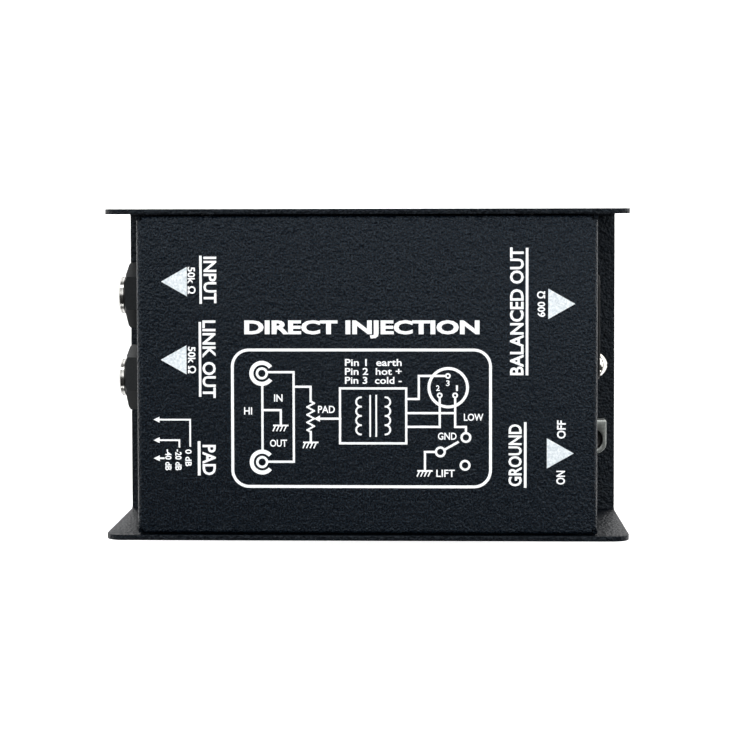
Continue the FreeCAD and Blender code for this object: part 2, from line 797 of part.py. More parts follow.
def make_xlr_insert():
    """Moulded insert, seated from behind against the cavity's step, with three pin holes."""
    insert = Part.makeCylinder(xlr_insert_radius, xlr_insert_thickness, xlr_axis_place(xlr_insert_back), X_AXIS)
    for y, z in xlr_pin_places().values():
        insert = insert.cut(Part.makeCylinder(xlr_pin_radius + thread_clearance, xlr_insert_thickness + 2,
                                              Vector(xlr_insert_back - 1, y, z), X_AXIS))
    return insert


def make_xlr_pin(y, z):
    """Contact pin: rounded tip in the cavity, collar behind the insert, and solder cup."""
    length = xlr_insert_thickness + xlr_pin_reach
    pin = Part.makeCylinder(xlr_pin_radius, length)
    tip = [edge for edge in pin.Edges if edge.BoundBox.ZMin > length - 0.01]
    pin = pin.makeFillet(xlr_pin_tip_share * xlr_pin_radius, tip)
    collar = Part.makeCylinder(xlr_pin_collar_radius, xlr_pin_collar_length,
                               Vector(0, 0, -xlr_pin_collar_length))
    tail_start = -xlr_pin_collar_length - xlr_tail_length
    tail = Part.makeCylinder(xlr_tail_radius, xlr_tail_length, Vector(0, 0, tail_start))
    whole = join([pin, collar, tail])
    return stand(whole, Vector(xlr_insert_back, y, z), X_AXIS)


def make_xlr_screws():
    """Two pan-head screws through the flange and the panel."""
    screws = []
    radius = screw_thread / 2 - thread_clearance
    for y, z in xlr_screw_places():
        head_radius = pan_head_diameter / 2
        rise = pan_head_height - pan_head_edge
        ball_radius = (head_radius ** 2 + rise ** 2) / (2 * rise)
        dome = Part.makeSphere(ball_radius, Vector(0, 0, pan_head_height - ball_radius))
        head = Part.makeCylinder(head_radius, pan_head_height).common(dome)
        shank = Part.makeCylinder(radius, xlr_screw_length, Vector(0, 0, -xlr_screw_length))
        recess = cross_recess(recess_share * pan_head_diameter, recess_depth_share * pan_head_height)
        recess.translate(Vector(0, 0, pan_head_height))
        screw = join([head, shank]).cut(recess)
        screws.append(stand(screw, Vector(xlr_face, y, z), X_AXIS))
    return Part.makeCompound(screws)


def make_xlr_nuts():
    """The nuts of the two flange screws, inside the end panel; one holds the earth lug."""
    nuts = []
    for index, (y, z) in enumerate(xlr_screw_places()):
        nut = hexagon_nut(xlr_nut_flats, xlr_nut_height, screw_thread / 2, xlr_nut_chamfer)
        setback = lug_thickness * (1 - index)
        nuts.append(stand(nut, Vector(panel_inner - setback, y, z), Vector(-1, 0, 0)))
    return Part.makeCompound(nuts)


# ---------------------------------------------------------------- board and what stands on it

def resistor_places():
    """Where the resistors lie: (x, y) of each middle."""
    return [(resistor_x, resistor_first_y + index * resistor_pitch) for index in range(resistor_count)]


def make_pad_resistors():
    """Axial resistors of the pad, lying on the board, each one body with two bent leads."""
    resistors = []
    axis_z = board_top + resistor_body_radius + resistor_bulge
    for x, y in resistor_places():
        body = Part.makeCylinder(resistor_body_radius, resistor_body_length,
                                 Vector(x - resistor_body_length / 2, y, axis_z), X_AXIS)
        pieces = [body]
        for side in (-1, 1):
            cap_x = x + side * (resistor_body_length - resistor_cap_length) / 2 - resistor_cap_length / 2
            pieces.append(Part.makeCylinder(resistor_body_radius + resistor_bulge, resistor_cap_length,
                                            Vector(cap_x, y, axis_z), X_AXIS))
            lead_end = x + side * resistor_lead_span / 2
            lead_start = min(x + side * resistor_body_length / 2, lead_end)
            run = abs(resistor_lead_span - resistor_body_length) / 2
            pieces.append(Part.makeCylinder(resistor_lead_radius, run, Vector(lead_start, y, axis_z), X_AXIS))
            pieces.append(Part.makeSphere(resistor_lead_radius, Vector(lead_end, y, axis_z)))
            drop = axis_z - board_bottom + resistor_lead_below
            pieces.append(Part.makeCylinder(resistor_lead_radius, drop, Vector(lead_end, y, axis_z - drop)))
        resistors.append(join(pieces))
    return Part.makeCompound(resistors)


def make_circuit_board():
    """L-shaped board that leaves room for the XLR barrel, drilled for every leg and lead."""
    board = box((-board_end, board_end), (-board_side, board_side), (board_bottom, board_top))
    notch = box((board_notch_x, board_end + 1), (board_notch_y, board_side + 1),
                (board_bottom - 1, board_top + 1))
    board = board.cut(notch)
    legs = []
    for y in (input_jack_y, link_jack_y):
        legs += [tip_contact_tail(y), sleeve_contact_tail(y)]
    for terminal_y, row in terminal_places(pad_switch_y, pad_terminal_pitch, pad_terminal_count):
        legs.append(terminal_leg(-1, terminal_y, row))
    for terminal_y, row in terminal_places(ground_switch_y, ground_terminal_pitch, ground_terminal_count):
        legs.append(terminal_leg(1, terminal_y, row))
    for leg in legs:
        board = board.cut(grown(leg))
    for x, y in resistor_places():
        for side in (-1, 1):
            lead_x = x + side * resistor_lead_span / 2
            board = board.cut(Part.makeCylinder(resistor_lead_radius + lead_hole_clearance,
                                                board_thickness + 2, Vector(lead_x, y, board_bottom - 1)))
    return board


def set_transformer(shape):
    """Turn a transformer piece, drawn along X on the origin, along Y and set it on the board."""
    turned = shape.copy()
    place = Vector(transformer_x, transformer_y, board_top)
    turned.Placement = FreeCAD.Placement(place, FreeCAD.Rotation(Z_AXIS, 90))
    return turned


def transformer_window():
    """Width and height of each of the core's two windows."""
    return (core_length - 4 * core_leg) / 2, core_height - 2 * core_leg


def make_transformer_core():
    """Laminated E and I core with two windows, standing on the board."""
    core = box(span(0, core_length), span(0, core_stack), (0, core_height))
    window_width, window_height = transformer_window()
    for side in (-1, 1):
        middle = side * (core_leg + window_width / 2)
        window = box(span(middle, window_width), span(0, core_stack + 2), span(core_height / 2, window_height))
        core = core.cut(window)
    return set_transformer(core)


def make_transformer_bobbin():
    """Moulded bobbin round the core's middle leg, with a flange at each end."""
    inner_x = 2 * (core_leg + bobbin_clearance)
    inner_y = core_stack + 2 * bobbin_clearance
    height = transformer_window()[1] - 2 * bobbin_clearance
    tube = box(span(0, inner_x + 2 * bobbin_wall), span(0, inner_y + 2 * bobbin_wall),
               span(core_height / 2, height))
    reach = bobbin_wall + winding_thickness
    pieces = [tube]
    for side in (-1, 1):
        flange_z = core_height / 2 + side * (height - bobbin_wall) / 2
        pieces.append(box(span(0, inner_x + 2 * reach), span(0, inner_y + 2 * reach),
                          span(flange_z, bobbin_wall)))
    leg_room = box(span(0, inner_x), span(0, inner_y), span(core_height / 2, height + 2))
    return set_transformer(join(pieces).cut(leg_room))


def make_transformer_winding():
    """Taped winding between the bobbin's flanges."""
    inner_x = 2 * (core_leg + bobbin_clearance + bobbin_wall + tape_clearance)
    inner_y = core_stack + 2 * (bobbin_clearance + bobbin_wall + tape_clearance)
    height = transformer_window()[1] - 2 * (bobbin_clearance + bobbin_wall + winding_end_gap)
    thickness = winding_thickness - 2 * tape_clearance
    outside = box(span(0, inner_x + 2 * thickness), span(0, inner_y + 2 * thickness),
                  span(core_height / 2, height))
    outside = round_edges(outside, winding_corner, Z_AXIS, lambda p: True)
    inside = box(span(0, inner_x), span(0, inner_y), span(core_height / 2, height + 2))
    return set_transformer(outside.cut(inside))


def make_transformer_clamp():
    """Strap over the core's top and ends, with two tabs on the board."""
    strap = box(span(0, core_length + 2 * clamp_sheet), span(0, clamp_width), (0, core_height + clamp_sheet))
    strap = strap.cut(box(span(0, core_length), span(0, clamp_width + 2), (-1, core_height)))
    pieces = [strap]
    for side in (-1, 1):
        edge = side * core_length / 2
        pieces.append(box((edge, edge + side * clamp_tab), span(0, clamp_width), (0, clamp_sheet)))
    return set_transformer(join(pieces))


# ---------------------------------------------------------------- wires

def make_signal_wire(y, z):
    """Wire from an XLR solder cup down to the board, where its end lies flat."""
    rest_z = board_top + hookup_radius
    bend_x = xlr_tail_end - wire_straight
    land_x = bend_x - wire_fall
    points = [Vector(xlr_tail_end, y, z), Vector(bend_x, y, z), Vector(land_x, y, rest_z),
              Vector(land_x - wire_lap, y, rest_z)]
    return hookup_wire(points, hookup_radius)


def make_earth_lug():
    """Ring tag under the nut of the upper flange screw, its tail lying along the panel."""
    y, z = xlr_screw_places()[0]
    eye = ring(lug_radius, screw_thread / 2 + thread_clearance, lug_thickness)
    eye = stand(eye, Vector(panel_inner, y, z), Vector(-1, 0, 0))
    tail_y = (y - lug_radius + 0.6, y - lug_radius - lug_tail_length)
    tail = box((panel_inner - lug_thickness, panel_inner), tail_y, span(z, lug_tail_width))
    return join([eye, tail])


def make_earth_wire():
    """Earth wire from the lug's tail down to the board, where its end lies flat."""
    y, z = xlr_screw_places()[0]
    wire_y = y - lug_radius - lug_tail_length + lug_tail_width / 2
    rest_z = board_top + hookup_radius
    start_x = panel_inner - lug_thickness
    bend_x = start_x - earth_wire_straight
    land_x = bend_x - earth_wire_fall
    points = [Vector(start_x, wire_y, z), Vector(bend_x, wire_y, z), Vector(land_x, wire_y, rest_z),
              Vector(land_x - earth_wire_lap, wire_y, rest_z)]
    return hookup_wire(points, hookup_radius)


# ---------------------------------------------------------------- write every piece

save("base_channel", make_base_channel())
save("top_cover", make_top_cover())
save("cover_screws", make_cover_screws())
save("cover_nuts", make_cover_nuts())
save("rubber_feet", make_rubber_feet())
save("circuit_board", make_circuit_board())

jacks = (("input_jack", input_jack_y, input_nut_lean), ("link_jack", link_jack_y, link_nut_lean))
for jack_name, jack_y, nut_lean in jacks:
    save(jack_name + "_housing", make_jack_housing(jack_y))
    save(jack_name + "_bush", make_jack_bush(jack_y))
    save(jack_name + "_washer", make_jack_washer(jack_y))
    save(jack_name + "_nut", make_jack_nut(jack_y, nut_lean))
    save(jack_name + "_tip_contact", make_tip_contact(jack_y))
    save(jack_name + "_sleeve_contact", make_sleeve_contact(jack_y))

pad_throw = 2 * pad_step
save("pad_switch_frame", make_switch_frame(-1, pad_switch_y, pad_knob_length, pad_carriage_length, pad_throw))
save("pad_switch_base",
     make_switch_base(-1, pad_switch_y, pad_carriage_length, pad_throw, pad_terminal_pitch, pad_terminal_count))
save("pad_switch_terminals", make_switch_terminals(-1, pad_switch_y, pad_terminal_pitch, pad_terminal_count))
save("pad_switch_slider", make_pad_slider())
save("pad_switch_contact", make_switch_contact(-1, pad_switch_y))

ground_off_y = ground_switch_y + ground_throw / 2
save("ground_switch_frame",
     make_switch_frame(1, ground_switch_y, ground_knob_length, ground_carriage_length, ground_throw))
save("ground_switch_base",
     make_switch_base(1, ground_switch_y, ground_carriage_length, ground_throw,
                      ground_terminal_pitch, ground_terminal_count))
save("ground_switch_terminals",
     make_switch_terminals(1, ground_switch_y, ground_terminal_pitch, ground_terminal_count))
save("ground_switch_slider", make_ground_slider())
save("ground_switch_contact", make_switch_contact(1, ground_off_y))

save("xlr_shell", make_xlr_shell())
save("xlr_insert", make_xlr_insert())
for pin_name, (pin_y, pin_z) in xlr_pin_places().items():
    save("xlr_pin_" + pin_name, make_xlr_pin(pin_y, pin_z))
    save("wire_" + pin_name, make_signal_wire(pin_y, pin_z))
save("xlr_screws", make_xlr_screws())
save("xlr_nuts", make_xlr_nuts())
save("earth_lug", make_earth_lug())
save("earth_wire", make_earth_wire())

save("transformer_core", make_transformer_core())
save("transformer_bobbin", make_transformer_bobbin())
save("transformer_winding", make_transformer_winding())
save("transformer_clamp", make_transformer_clamp())
save("pad_resistors", make_pad_resistors())
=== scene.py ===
# %% [markdown]
# A passive direct injection box, dressed for a studio picture.
# The case, the jacks, the XLR socket and the switches come from the CAD frame, so every piece here
# takes its place from them. What is left for Blender is what a finisher and a screen printer would
# do: two grades of powder coat, plating, moulded plastic and rubber, and the white legends on top.

# %% Load the frame
import json
import math

import bpy
from mathutils import Matrix, Vector


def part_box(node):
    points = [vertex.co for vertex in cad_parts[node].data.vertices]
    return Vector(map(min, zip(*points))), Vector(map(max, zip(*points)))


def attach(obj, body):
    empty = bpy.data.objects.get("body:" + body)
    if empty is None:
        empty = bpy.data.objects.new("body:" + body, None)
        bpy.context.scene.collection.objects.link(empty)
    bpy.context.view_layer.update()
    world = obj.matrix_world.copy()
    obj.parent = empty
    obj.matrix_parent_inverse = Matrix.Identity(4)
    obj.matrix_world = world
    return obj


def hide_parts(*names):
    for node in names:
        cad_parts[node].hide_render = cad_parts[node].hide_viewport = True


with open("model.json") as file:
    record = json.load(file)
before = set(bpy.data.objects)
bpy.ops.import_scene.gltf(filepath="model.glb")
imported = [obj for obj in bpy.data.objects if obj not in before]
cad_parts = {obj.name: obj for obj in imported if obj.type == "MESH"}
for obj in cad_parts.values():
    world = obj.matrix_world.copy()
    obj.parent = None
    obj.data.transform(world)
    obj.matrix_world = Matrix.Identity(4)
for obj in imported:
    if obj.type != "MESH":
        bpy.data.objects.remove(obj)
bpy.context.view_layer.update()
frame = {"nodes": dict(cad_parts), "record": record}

# %% [markdown]
# Everything is in metres, as the frame is. Sizes are easier to read in millimetres, so one
# multiplier turns them into metres. The top of the cover is where the legends are printed, and the
# tops of the guard walls are the highest edge of the case.

# %% Sizes taken from the frame
MM = 0.001
cover_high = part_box("top_cover")[1]
COVER_TOP = cover_high.z
WALL_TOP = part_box("base_channel")[1].z
print("cover top", round(COVER_TOP / MM, 2), "mm, wall top", round(WALL_TOP / MM, 2), "mm")

# %% [markdown]
# The camera hangs almost straight over the box, a little to the right of the middle and behind it,
# so the inner faces of the left, right and front sides show in perspective. Half of the aim is a
# small tilt and the other half a vertical lens shift: with the shift, the box's edges stay nearly
# parallel to the picture's edges, and it is small enough to keep the box whole in other views.

# %% Camera
CAMERA_OFFSET = Vector((16.57 * MM, 40.6 * MM, 460.93 * MM))
CAMERA_TURN = [math.radians(angle) for angle in (-2.278, 1.781, -0.119)]
LENS = 90.1
LENS_SHIFT = -0.12
camera_data = bpy.data.cameras.new("studio_camera")
camera_data.lens = LENS
camera_data.sensor_width = 36.0
camera_data.shift_y = LENS_SHIFT
camera_data.clip_start = 0.02
camera_data.clip_end = 20.0
camera = bpy.data.objects.new("studio_camera", camera_data)
bpy.context.scene.collection.objects.link(camera)
camera.location = Vector((0.0, 0.0, WALL_TOP)) + CAMERA_OFFSET
camera.rotation_euler = CAMERA_TURN
bpy.context.scene.camera = camera
print("camera", [round(c, 4) for c in camera.location])

# %% [markdown]
# A black box shows only what it reflects, so the whole room is drawn with ramps on the direction
# of view: a ceiling that is bright behind the box and dark before it, dark walls, and a white lower
# half for the table. The table is what puts a thin line on the outermost edge of every bend. Only
# the ceiling is shaded from front to back, so the lines stay equally bright on both ends. The
# standard view transform keeps the floor white.

# %% Room light
ROOM_STRENGTH = 3.2
HEIGHT_STOPS = ((0.0, 0.26), (1.0, 1.0), (0.14, 0.80), (0.38, 0.80), (0.47, 0.17),
                (0.52, 0.16), (0.68, 0.05), (0.75, 0.04))
BACK_STOPS = ((0.0, 0.02), (1.0, 1.0), (0.505, 0.03), (0.63, 1.0))
CEILING_STOPS = ((0.0, 0.25), (1.0, 1.0))
bpy.context.scene.view_settings.view_transform = "Standard"
world = bpy.data.worlds.new("studio_room")
bpy.context.scene.world = world
world.use_nodes = True
room = world.node_tree
room.nodes.clear()
room_out = room.nodes.new("ShaderNodeOutputWorld")
room_back = room.nodes.new("ShaderNodeBackground")
room.links.new(room_back.outputs[0], room_out.inputs[0])
room_direction = room.nodes.new("ShaderNodeTexCoord")
room_axes = room.nodes.new("ShaderNodeSeparateXYZ")
room.links.new(room_direction.outputs["Generated"], room_axes.inputs[0])


def room_ramp(factor, low, high, stops):
    """A grey ramp over low to high, as (position, grey) stops whose first two are its ends."""
    spread = room.nodes.new("ShaderNodeMapRange")
    spread.inputs["From Min"].default_value = low
    spread.inputs["From Max"].default_value = high
    room.links.new(factor, spread.inputs["Value"])
    ramp = room.nodes.new("ShaderNodeValToRGB")
    for index, (position, grey) in enumerate(stops):
        if index < 2:
            stop = ramp.color_ramp.elements[index]
            stop.position = position
        else:
            stop = ramp.color_ramp.elements.new(position)
        stop.color = (grey, grey, grey, 1.0)
    room.links.new(spread.outputs["Result"], ramp.inputs["Fac"])
    return ramp.outputs["Color"]


towards_back = room.nodes.new("ShaderNodeVectorMath")
towards_back.operation = "DOT_PRODUCT"
towards_back.inputs[1].default_value = (0.05, 1.0, 0.0)
room.links.new(room_direction.outputs["Generated"], towards_back.inputs[0])
by_height = room_ramp(room_axes.outputs["Z"], -1.0, 1.0, HEIGHT_STOPS)
by_side = room_ramp(towards_back.outputs["Value"], -1.0, 1.0, BACK_STOPS)
room_light = room.nodes.new("ShaderNodeMix")
room_light.data_type = "RGBA"
room_light.blend_type = "MULTIPLY"
overhead = room_ramp(room_axes.outputs["Z"], 0.2, 0.6, CEILING_STOPS)
room.links.new(overhead, room_light.inputs["Factor"])
room.links.new(by_height, room_light.inputs["A"])
room.links.new(by_side, room_light.inputs["B"])
room.links.new(room_light.outputs["Result"], room_back.inputs["Color"])
room_back.inputs["Strength"].default_value = ROOM_STRENGTH
print("room drawn with", len(HEIGHT_STOPS), "shades from table to ceiling")

# %% [markdown]
# Four low softboxes light the white legends and leave soft streaks on the plated parts. They stand
# low, so that the top of the cover doesn't mirror them. The one behind the box is the strongest.


# %% Softboxes
LIGHT_AIM = Vector((0.0, 0.0, 0.02))


def softbox(name, place, size, power):
    """A rectangular area light that faces the box."""
    data = bpy.data.lights.new(name, "AREA")
    data.shape = "RECTANGLE"
    data.size, data.size_y = size
    data.energy = power
    light = bpy.data.objects.new(name, data)
    bpy.context.scene.collection.objects.link(light)
    light.location = place
    light.rotation_euler = (LIGHT_AIM - Vector(place)).to_track_quat("-Z", "Y").to_euler()
    print(name, "at", place, power, "W")


softbox("back_softbox", (0.0, 1.1, 0.65), (1.6, 0.35), 12.0)
softbox("left_softbox", (-1.1, 0.2, 0.55), (0.9, 0.35), 7.0)
softbox("right_softbox", (1.1, 0.2, 0.55), (0.9, 0.35), 7.0)
softbox("front_softbox", (0.0, -1.2, 0.6), (1.2, 0.3), 3.5)

# %% [markdown]
# Every finish is made of the same few parts, so they are written once: noise on the object's own
# coordinates for the pattern, a ramp for the two close shades, a range for the roughness, and a
# bump for the relief. The sizes given are those of the real grain, so nothing depends on the piece.


# %% Material helpers
def new_material(name):
    """A material with its Principled shader and output, and nothing else."""
    material = bpy.data.materials.new(name)
    material.use_nodes = True
    tree = material.node_tree
    tree.nodes.clear()
    output = tree.nodes.new("ShaderNodeOutputMaterial")
    shader = tree.nodes.new("ShaderNodeBsdfPrincipled")
    tree.links.new(shader.outputs["BSDF"], output.inputs["Surface"])
    return material, tree, shader


def object_coordinates(tree, stretch=(1.0, 1.0, 1.0)):
    """Object coordinates in metres, stretched along each axis."""
    source = tree.nodes.new("ShaderNodeTexCoord")
    mapping = tree.nodes.new("ShaderNodeMapping")
    mapping.inputs["Scale"].default_value = stretch
    tree.links.new(source.outputs["Object"], mapping.inputs["Vector"])
    return mapping.outputs["Vector"]


def noise(tree, vector, size, detail=3.0, roughness=0.55):
    """Noise whose blotches measure about size, in metres."""
    node = tree.nodes.new("ShaderNodeTexNoise")
    node.inputs["Scale"].default_value = 1.0 / size
    node.inputs["Detail"].default_value = detail
    node.inputs["Roughness"].default_value = roughness
    tree.links.new(vector, node.inputs["Vector"])
    return node.outputs["Fac"]


def two_tone(tree, factor, dark, light, low=0.35, high=0.65):
    """A ramp from one colour to another between two factor values."""
    ramp = tree.nodes.new("ShaderNodeValToRGB")
    ramp.color_ramp.elements[0].position = low
    ramp.color_ramp.elements[0].color = (*dark, 1.0)
    ramp.color_ramp.elements[1].position = high
    ramp.color_ramp.elements[1].color = (*light, 1.0)
    tree.links.new(factor, ramp.inputs["Fac"])
    return ramp.outputs["Color"]


def remap(tree, factor, low, high):
    """Stretch a 0 to 1 factor between two numbers."""
    node = tree.nodes.new("ShaderNodeMapRange")
    node.inputs["To Min"].default_value = low
    node.inputs["To Max"].default_value = high
    tree.links.new(factor, node.inputs["Value"])
    return node.outputs["Result"]


def bump(tree, shader, height, depth):
    """Let a height pattern tilt the surface, its full swing being depth metres."""
    node = tree.nodes.new("ShaderNodeBump")
    node.inputs["Strength"].default_value = 1.0
    node.inputs["Distance"].default_value = depth
    tree.links.new(height, node.inputs["Height"])
    tree.links.new(node.outputs["Normal"], shader.inputs["Normal"])


def grained(name, dark, light, rough, grain, depth,
            metal=0.0, stretch=(1.0, 1.0, 1.0), specular=0.5):
    """The common finish: two close shades, a rough range and a fine relief, all from one grain."""
    material, tree, shader = new_material(name)
    vector = object_coordinates(tree, stretch)
    fine = noise(tree, vector, grain)
    broad = noise(tree, vector, grain * 9.0, detail=2.0)
    tree.links.new(two_tone(tree, fine, dark, light), shader.inputs["Base Color"])
    tree.links.new(remap(tree, broad, rough[0], rough[1]), shader.inputs["Roughness"])
    shader.inputs["Metallic"].default_value = metal
    shader.inputs["Specular IOR Level"].default_value = specular
    bump(tree, shader, fine, depth)
    return material


# %% [markdown]
# The floor is a plain white sweep: a large disc whose rim is drawn up into a wall, so it fills the
# picture from every side. It glows a little, as a light table does, which leaves only a faint
# shadow under the box. It is kept out of all reflections, where the drawn room does that job.

# %% Floor
FLOOR_RADIUS = 4.0
FLOOR_GLOW = 0.72
WALL_STEPS = ((0.35, 0.06), (0.30, 0.25), (0.10, 0.60), (0.0, 3.5))
bpy.ops.object.select_all(action="DESELECT")
bpy.ops.mesh.primitive_circle_add(vertices=96, radius=FLOOR_RADIUS, fill_type="NGON",
                                  location=(0, 0, 0))
floor = bpy.context.object
floor.name = "studio_floor"
bpy.ops.object.mode_set(mode="EDIT")
bpy.ops.mesh.select_all(action="SELECT")
bpy.ops.mesh.select_mode(type="EDGE")
bpy.ops.mesh.region_to_loop()
reach = FLOOR_RADIUS
for outward, upward in WALL_STEPS:
    bpy.ops.mesh.extrude_edges_move(TRANSFORM_OT_translate={"value": (0, 0, upward)})
    grow = (reach + outward) / reach
    bpy.ops.transform.resize(value=(grow, grow, 1.0), center_override=(0, 0, 0))
    reach += outward
bpy.ops.mesh.select_all(action="SELECT")
bpy.ops.mesh.normals_make_consistent(inside=True)
bpy.ops.object.mode_set(mode="OBJECT")
bpy.ops.object.shade_smooth()
floor_white = grained("floor_white", (0.80, 0.80, 0.80), (0.84, 0.84, 0.84), (0.75, 0.85),
                      4.0 * MM, 0.02 * MM)
floor_shader = floor_white.node_tree.nodes["Principled BSDF"]
floor_shader.inputs["Emission Color"].default_value = (1.0, 1.0, 1.0, 1.0)
floor_shader.inputs["Emission Strength"].default_value = FLOOR_GLOW
floor.data.materials.append(floor_white)
floor.visible_glossy = False
floor.visible_diffuse = False
print("floor", len(floor.data.polygons), "faces, normal up:", floor.data.polygons[0].normal.z > 0)

# %% [markdown]
# Powder coat is a plastic powder baked onto the steel. It melts into a skin of tiny rounded
# pimples. The cover has the fine grade, satin and blue-black. The channel has a coarser grade,
# more open and a little greyer. One noise makes the pimples, for gloss and relief; a slower one
# makes the swell under them; and a finer one paints pale specks into the colour. These specks are
# painted glints, standing in for the light that the pimples catch.


# %% Powder coats
SWELL_SIZE = 3.2
SWELL_SHARE = 0.6
GLINT_SPECK_SIZE = 0.72


def powder_coat(name, dark, light, rough, pimple, depth, tint, specular):
    """Baked powder: rounded pimples that run together on a slower swell, with fine pale specks of
    painted glint.
    """
    material, tree, shader = new_material(name)
    vector = object_coordinates(tree)
    pimples = noise(tree, vector, pimple, detail=2.0, roughness=0.5)
    swell = noise(tree, vector, pimple * SWELL_SIZE, detail=2.0, roughness=0.5)
    glint_specks = noise(tree, vector, pimple * GLINT_SPECK_SIZE, detail=1.0, roughness=0.5)
    height = tree.nodes.new("ShaderNodeMath")
    height.operation = "MULTIPLY_ADD"
    height.inputs[1].default_value = SWELL_SHARE
    tree.links.new(swell, height.inputs[0])
    tree.links.new(pimples, height.inputs[2])
    # Painted glints: the finer noise lays pale specks into the base colour, standing in for light
    # caught by the pimples.
    tree.links.new(two_tone(tree, glint_specks, dark, light, 0.46, 0.62), shader.inputs["Base Color"])
    tree.links.new(remap(tree, pimples, rough[1], rough[0]), shader.inputs["Roughness"])
    shader.inputs["Specular Tint"].default_value = (*tint, 1.0)
    shader.inputs["Specular IOR Level"].default_value = specular
    bump(tree, shader, height.outputs[0], depth)
    return material


finishes = {}
# The second colour of each coat is the pale shade of its painted glint specks.
finishes["cover_powder_coat"] = powder_coat(
    "cover_powder_coat", (0.0002, 0.0010, 0.0030), (0.0050, 0.0088, 0.0140), (0.16, 0.30),
    0.64 * MM, 0.62 * MM, (0.78, 0.90, 1.0), 0.16)
finishes["chassis_powder_coat"] = powder_coat(
    "chassis_powder_coat", (0.0004, 0.0010, 0.0022), (0.0056, 0.0078, 0.0110), (0.26, 0.44),
    0.70 * MM, 0.55 * MM, (0.80, 0.90, 1.0), 0.13)

# %% [markdown]
# The small parts each have their own finish. Plated brass is bright, with fine lines left by the
# lathe. Moulded plastic is satin, with a faint orange peel. Rubber is dull. Pressed steel has the
# long grain of the rolled sheet, which a stretched noise gives.


# %% Plastics and rubber
def fill_slot(slot, dark, light, rough, grain, depth, **extra):
    """Fill a slot with a grained finish; grain and depth are in millimetres."""
    finishes[slot] = grained(slot, dark, light, rough, grain * MM, depth * MM, **extra)


fill_slot("black_nut", (0.0040, 0.0056, 0.0068), (0.0078, 0.0098, 0.0115),
          (0.34, 0.46), 0.5, 0.012, specular=0.14)
fill_slot("black_moulding", (0.006, 0.006, 0.007), (0.011, 0.011, 0.012),
          (0.35, 0.48), 0.6, 0.008)
fill_slot("black_casting", (0.004, 0.0045, 0.0055), (0.008, 0.009, 0.0105),
          (0.36, 0.48), 0.35, 0.010, specular=0.2)
fill_slot("foot_rubber", (0.008, 0.008, 0.008), (0.018, 0.018, 0.018),
          (0.70, 0.85), 0.4, 0.030, specular=0.3)
fill_slot("bobbin_nylon", (0.62, 0.60, 0.52), (0.72, 0.70, 0.62),
          (0.40, 0.50), 1.0, 0.010)
fill_slot("phenolic", (0.17, 0.075, 0.030), (0.26, 0.120, 0.050),
          (0.45, 0.60), 0.5, 0.010, stretch=(1.0, 0.2, 1.0))
fill_slot("wire_black", (0.010, 0.010, 0.010), (0.016, 0.016, 0.016),
          (0.35, 0.45), 0.8, 0.005)
fill_slot("wire_red", (0.38, 0.012, 0.010), (0.46, 0.020, 0.016),
          (0.35, 0.45), 0.8, 0.005)
fill_slot("wire_white", (0.66, 0.66, 0.63), (0.74, 0.74, 0.71),
          (0.35, 0.45), 0.8, 0.005)

# %% Plated and pressed metal
fill_slot("zinc_plate", (0.46, 0.47, 0.48), (0.58, 0.59, 0.60),
          (0.25, 0.40), 0.7, 0.006, metal=1.0, stretch=(0.15, 1.0, 1.0))
fill_slot("tinned_metal", (0.60, 0.60, 0.57), (0.70, 0.70, 0.67),
          (0.22, 0.35), 0.6, 0.006, metal=1.0)
fill_slot("silver_contact", (0.66, 0.64, 0.60), (0.80, 0.78, 0.73),
          (0.14, 0.24), 0.5, 0.004, metal=1.0, stretch=(0.2, 1.0, 1.0))
fill_slot("nickel_screw", (0.64, 0.62, 0.58), (0.76, 0.74, 0.70),
          (0.12, 0.22), 0.35, 0.004, metal=1.0)
fill_slot("black_screw", (0.012, 0.012, 0.013), (0.022, 0.022, 0.024),
          (0.30, 0.42), 0.4, 0.008, metal=0.3)
fill_slot("chrome_bush", (0.66, 0.66, 0.67), (0.78, 0.78, 0.79),
          (0.08, 0.16), 0.22, 0.003, metal=1.0, stretch=(1.0, 0.06, 0.06))
fill_slot("lamination", (0.10, 0.105, 0.115), (0.22, 0.23, 0.245),
          (0.35, 0.50), 0.5, 0.030, metal=0.8, stretch=(1.0, 0.02, 0.02))

# %% Board, resistors, tape
fill_slot("board_laminate", (0.012, 0.085, 0.030), (0.020, 0.130, 0.048),
          (0.25, 0.38), 0.9, 0.006)
fill_slot("winding_tape", (0.55, 0.36, 0.030), (0.66, 0.46, 0.060),
          (0.30, 0.42), 1.2, 0.010, stretch=(0.3, 0.3, 1.0))
fill_slot("resistor_body", (0.055, 0.17, 0.30), (0.085, 0.23, 0.38),
          (0.25, 0.35), 0.9, 0.006)

# %% [markdown]
# The ground switch's knob is a dull plated cap, with a round thumb scoop whose inside is black.
# The two shades are one material: a cylinder about the scoop's axis decides which of them shows.

# %% Knob finish
knob_low, knob_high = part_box("ground_switch_slider")
SCOOP_RADIUS = 2.9 * MM
SCOOP_FROM_PANEL = 0.3 * MM
SCOOP_END_WALL = 0.7 * MM
SCOOP_MARGIN = 0.02 * MM
KNOB_LENGTH = 8.5 * MM
knob_middle_y = (knob_low.y + knob_high.y) / 2
scoop_y = knob_middle_y - KNOB_LENGTH / 2 + SCOOP_END_WALL + SCOOP_RADIUS
scoop_x = cover_high.x + SCOOP_FROM_PANEL
print("scoop axis", round(scoop_x / MM, 2), round(scoop_y / MM, 2))


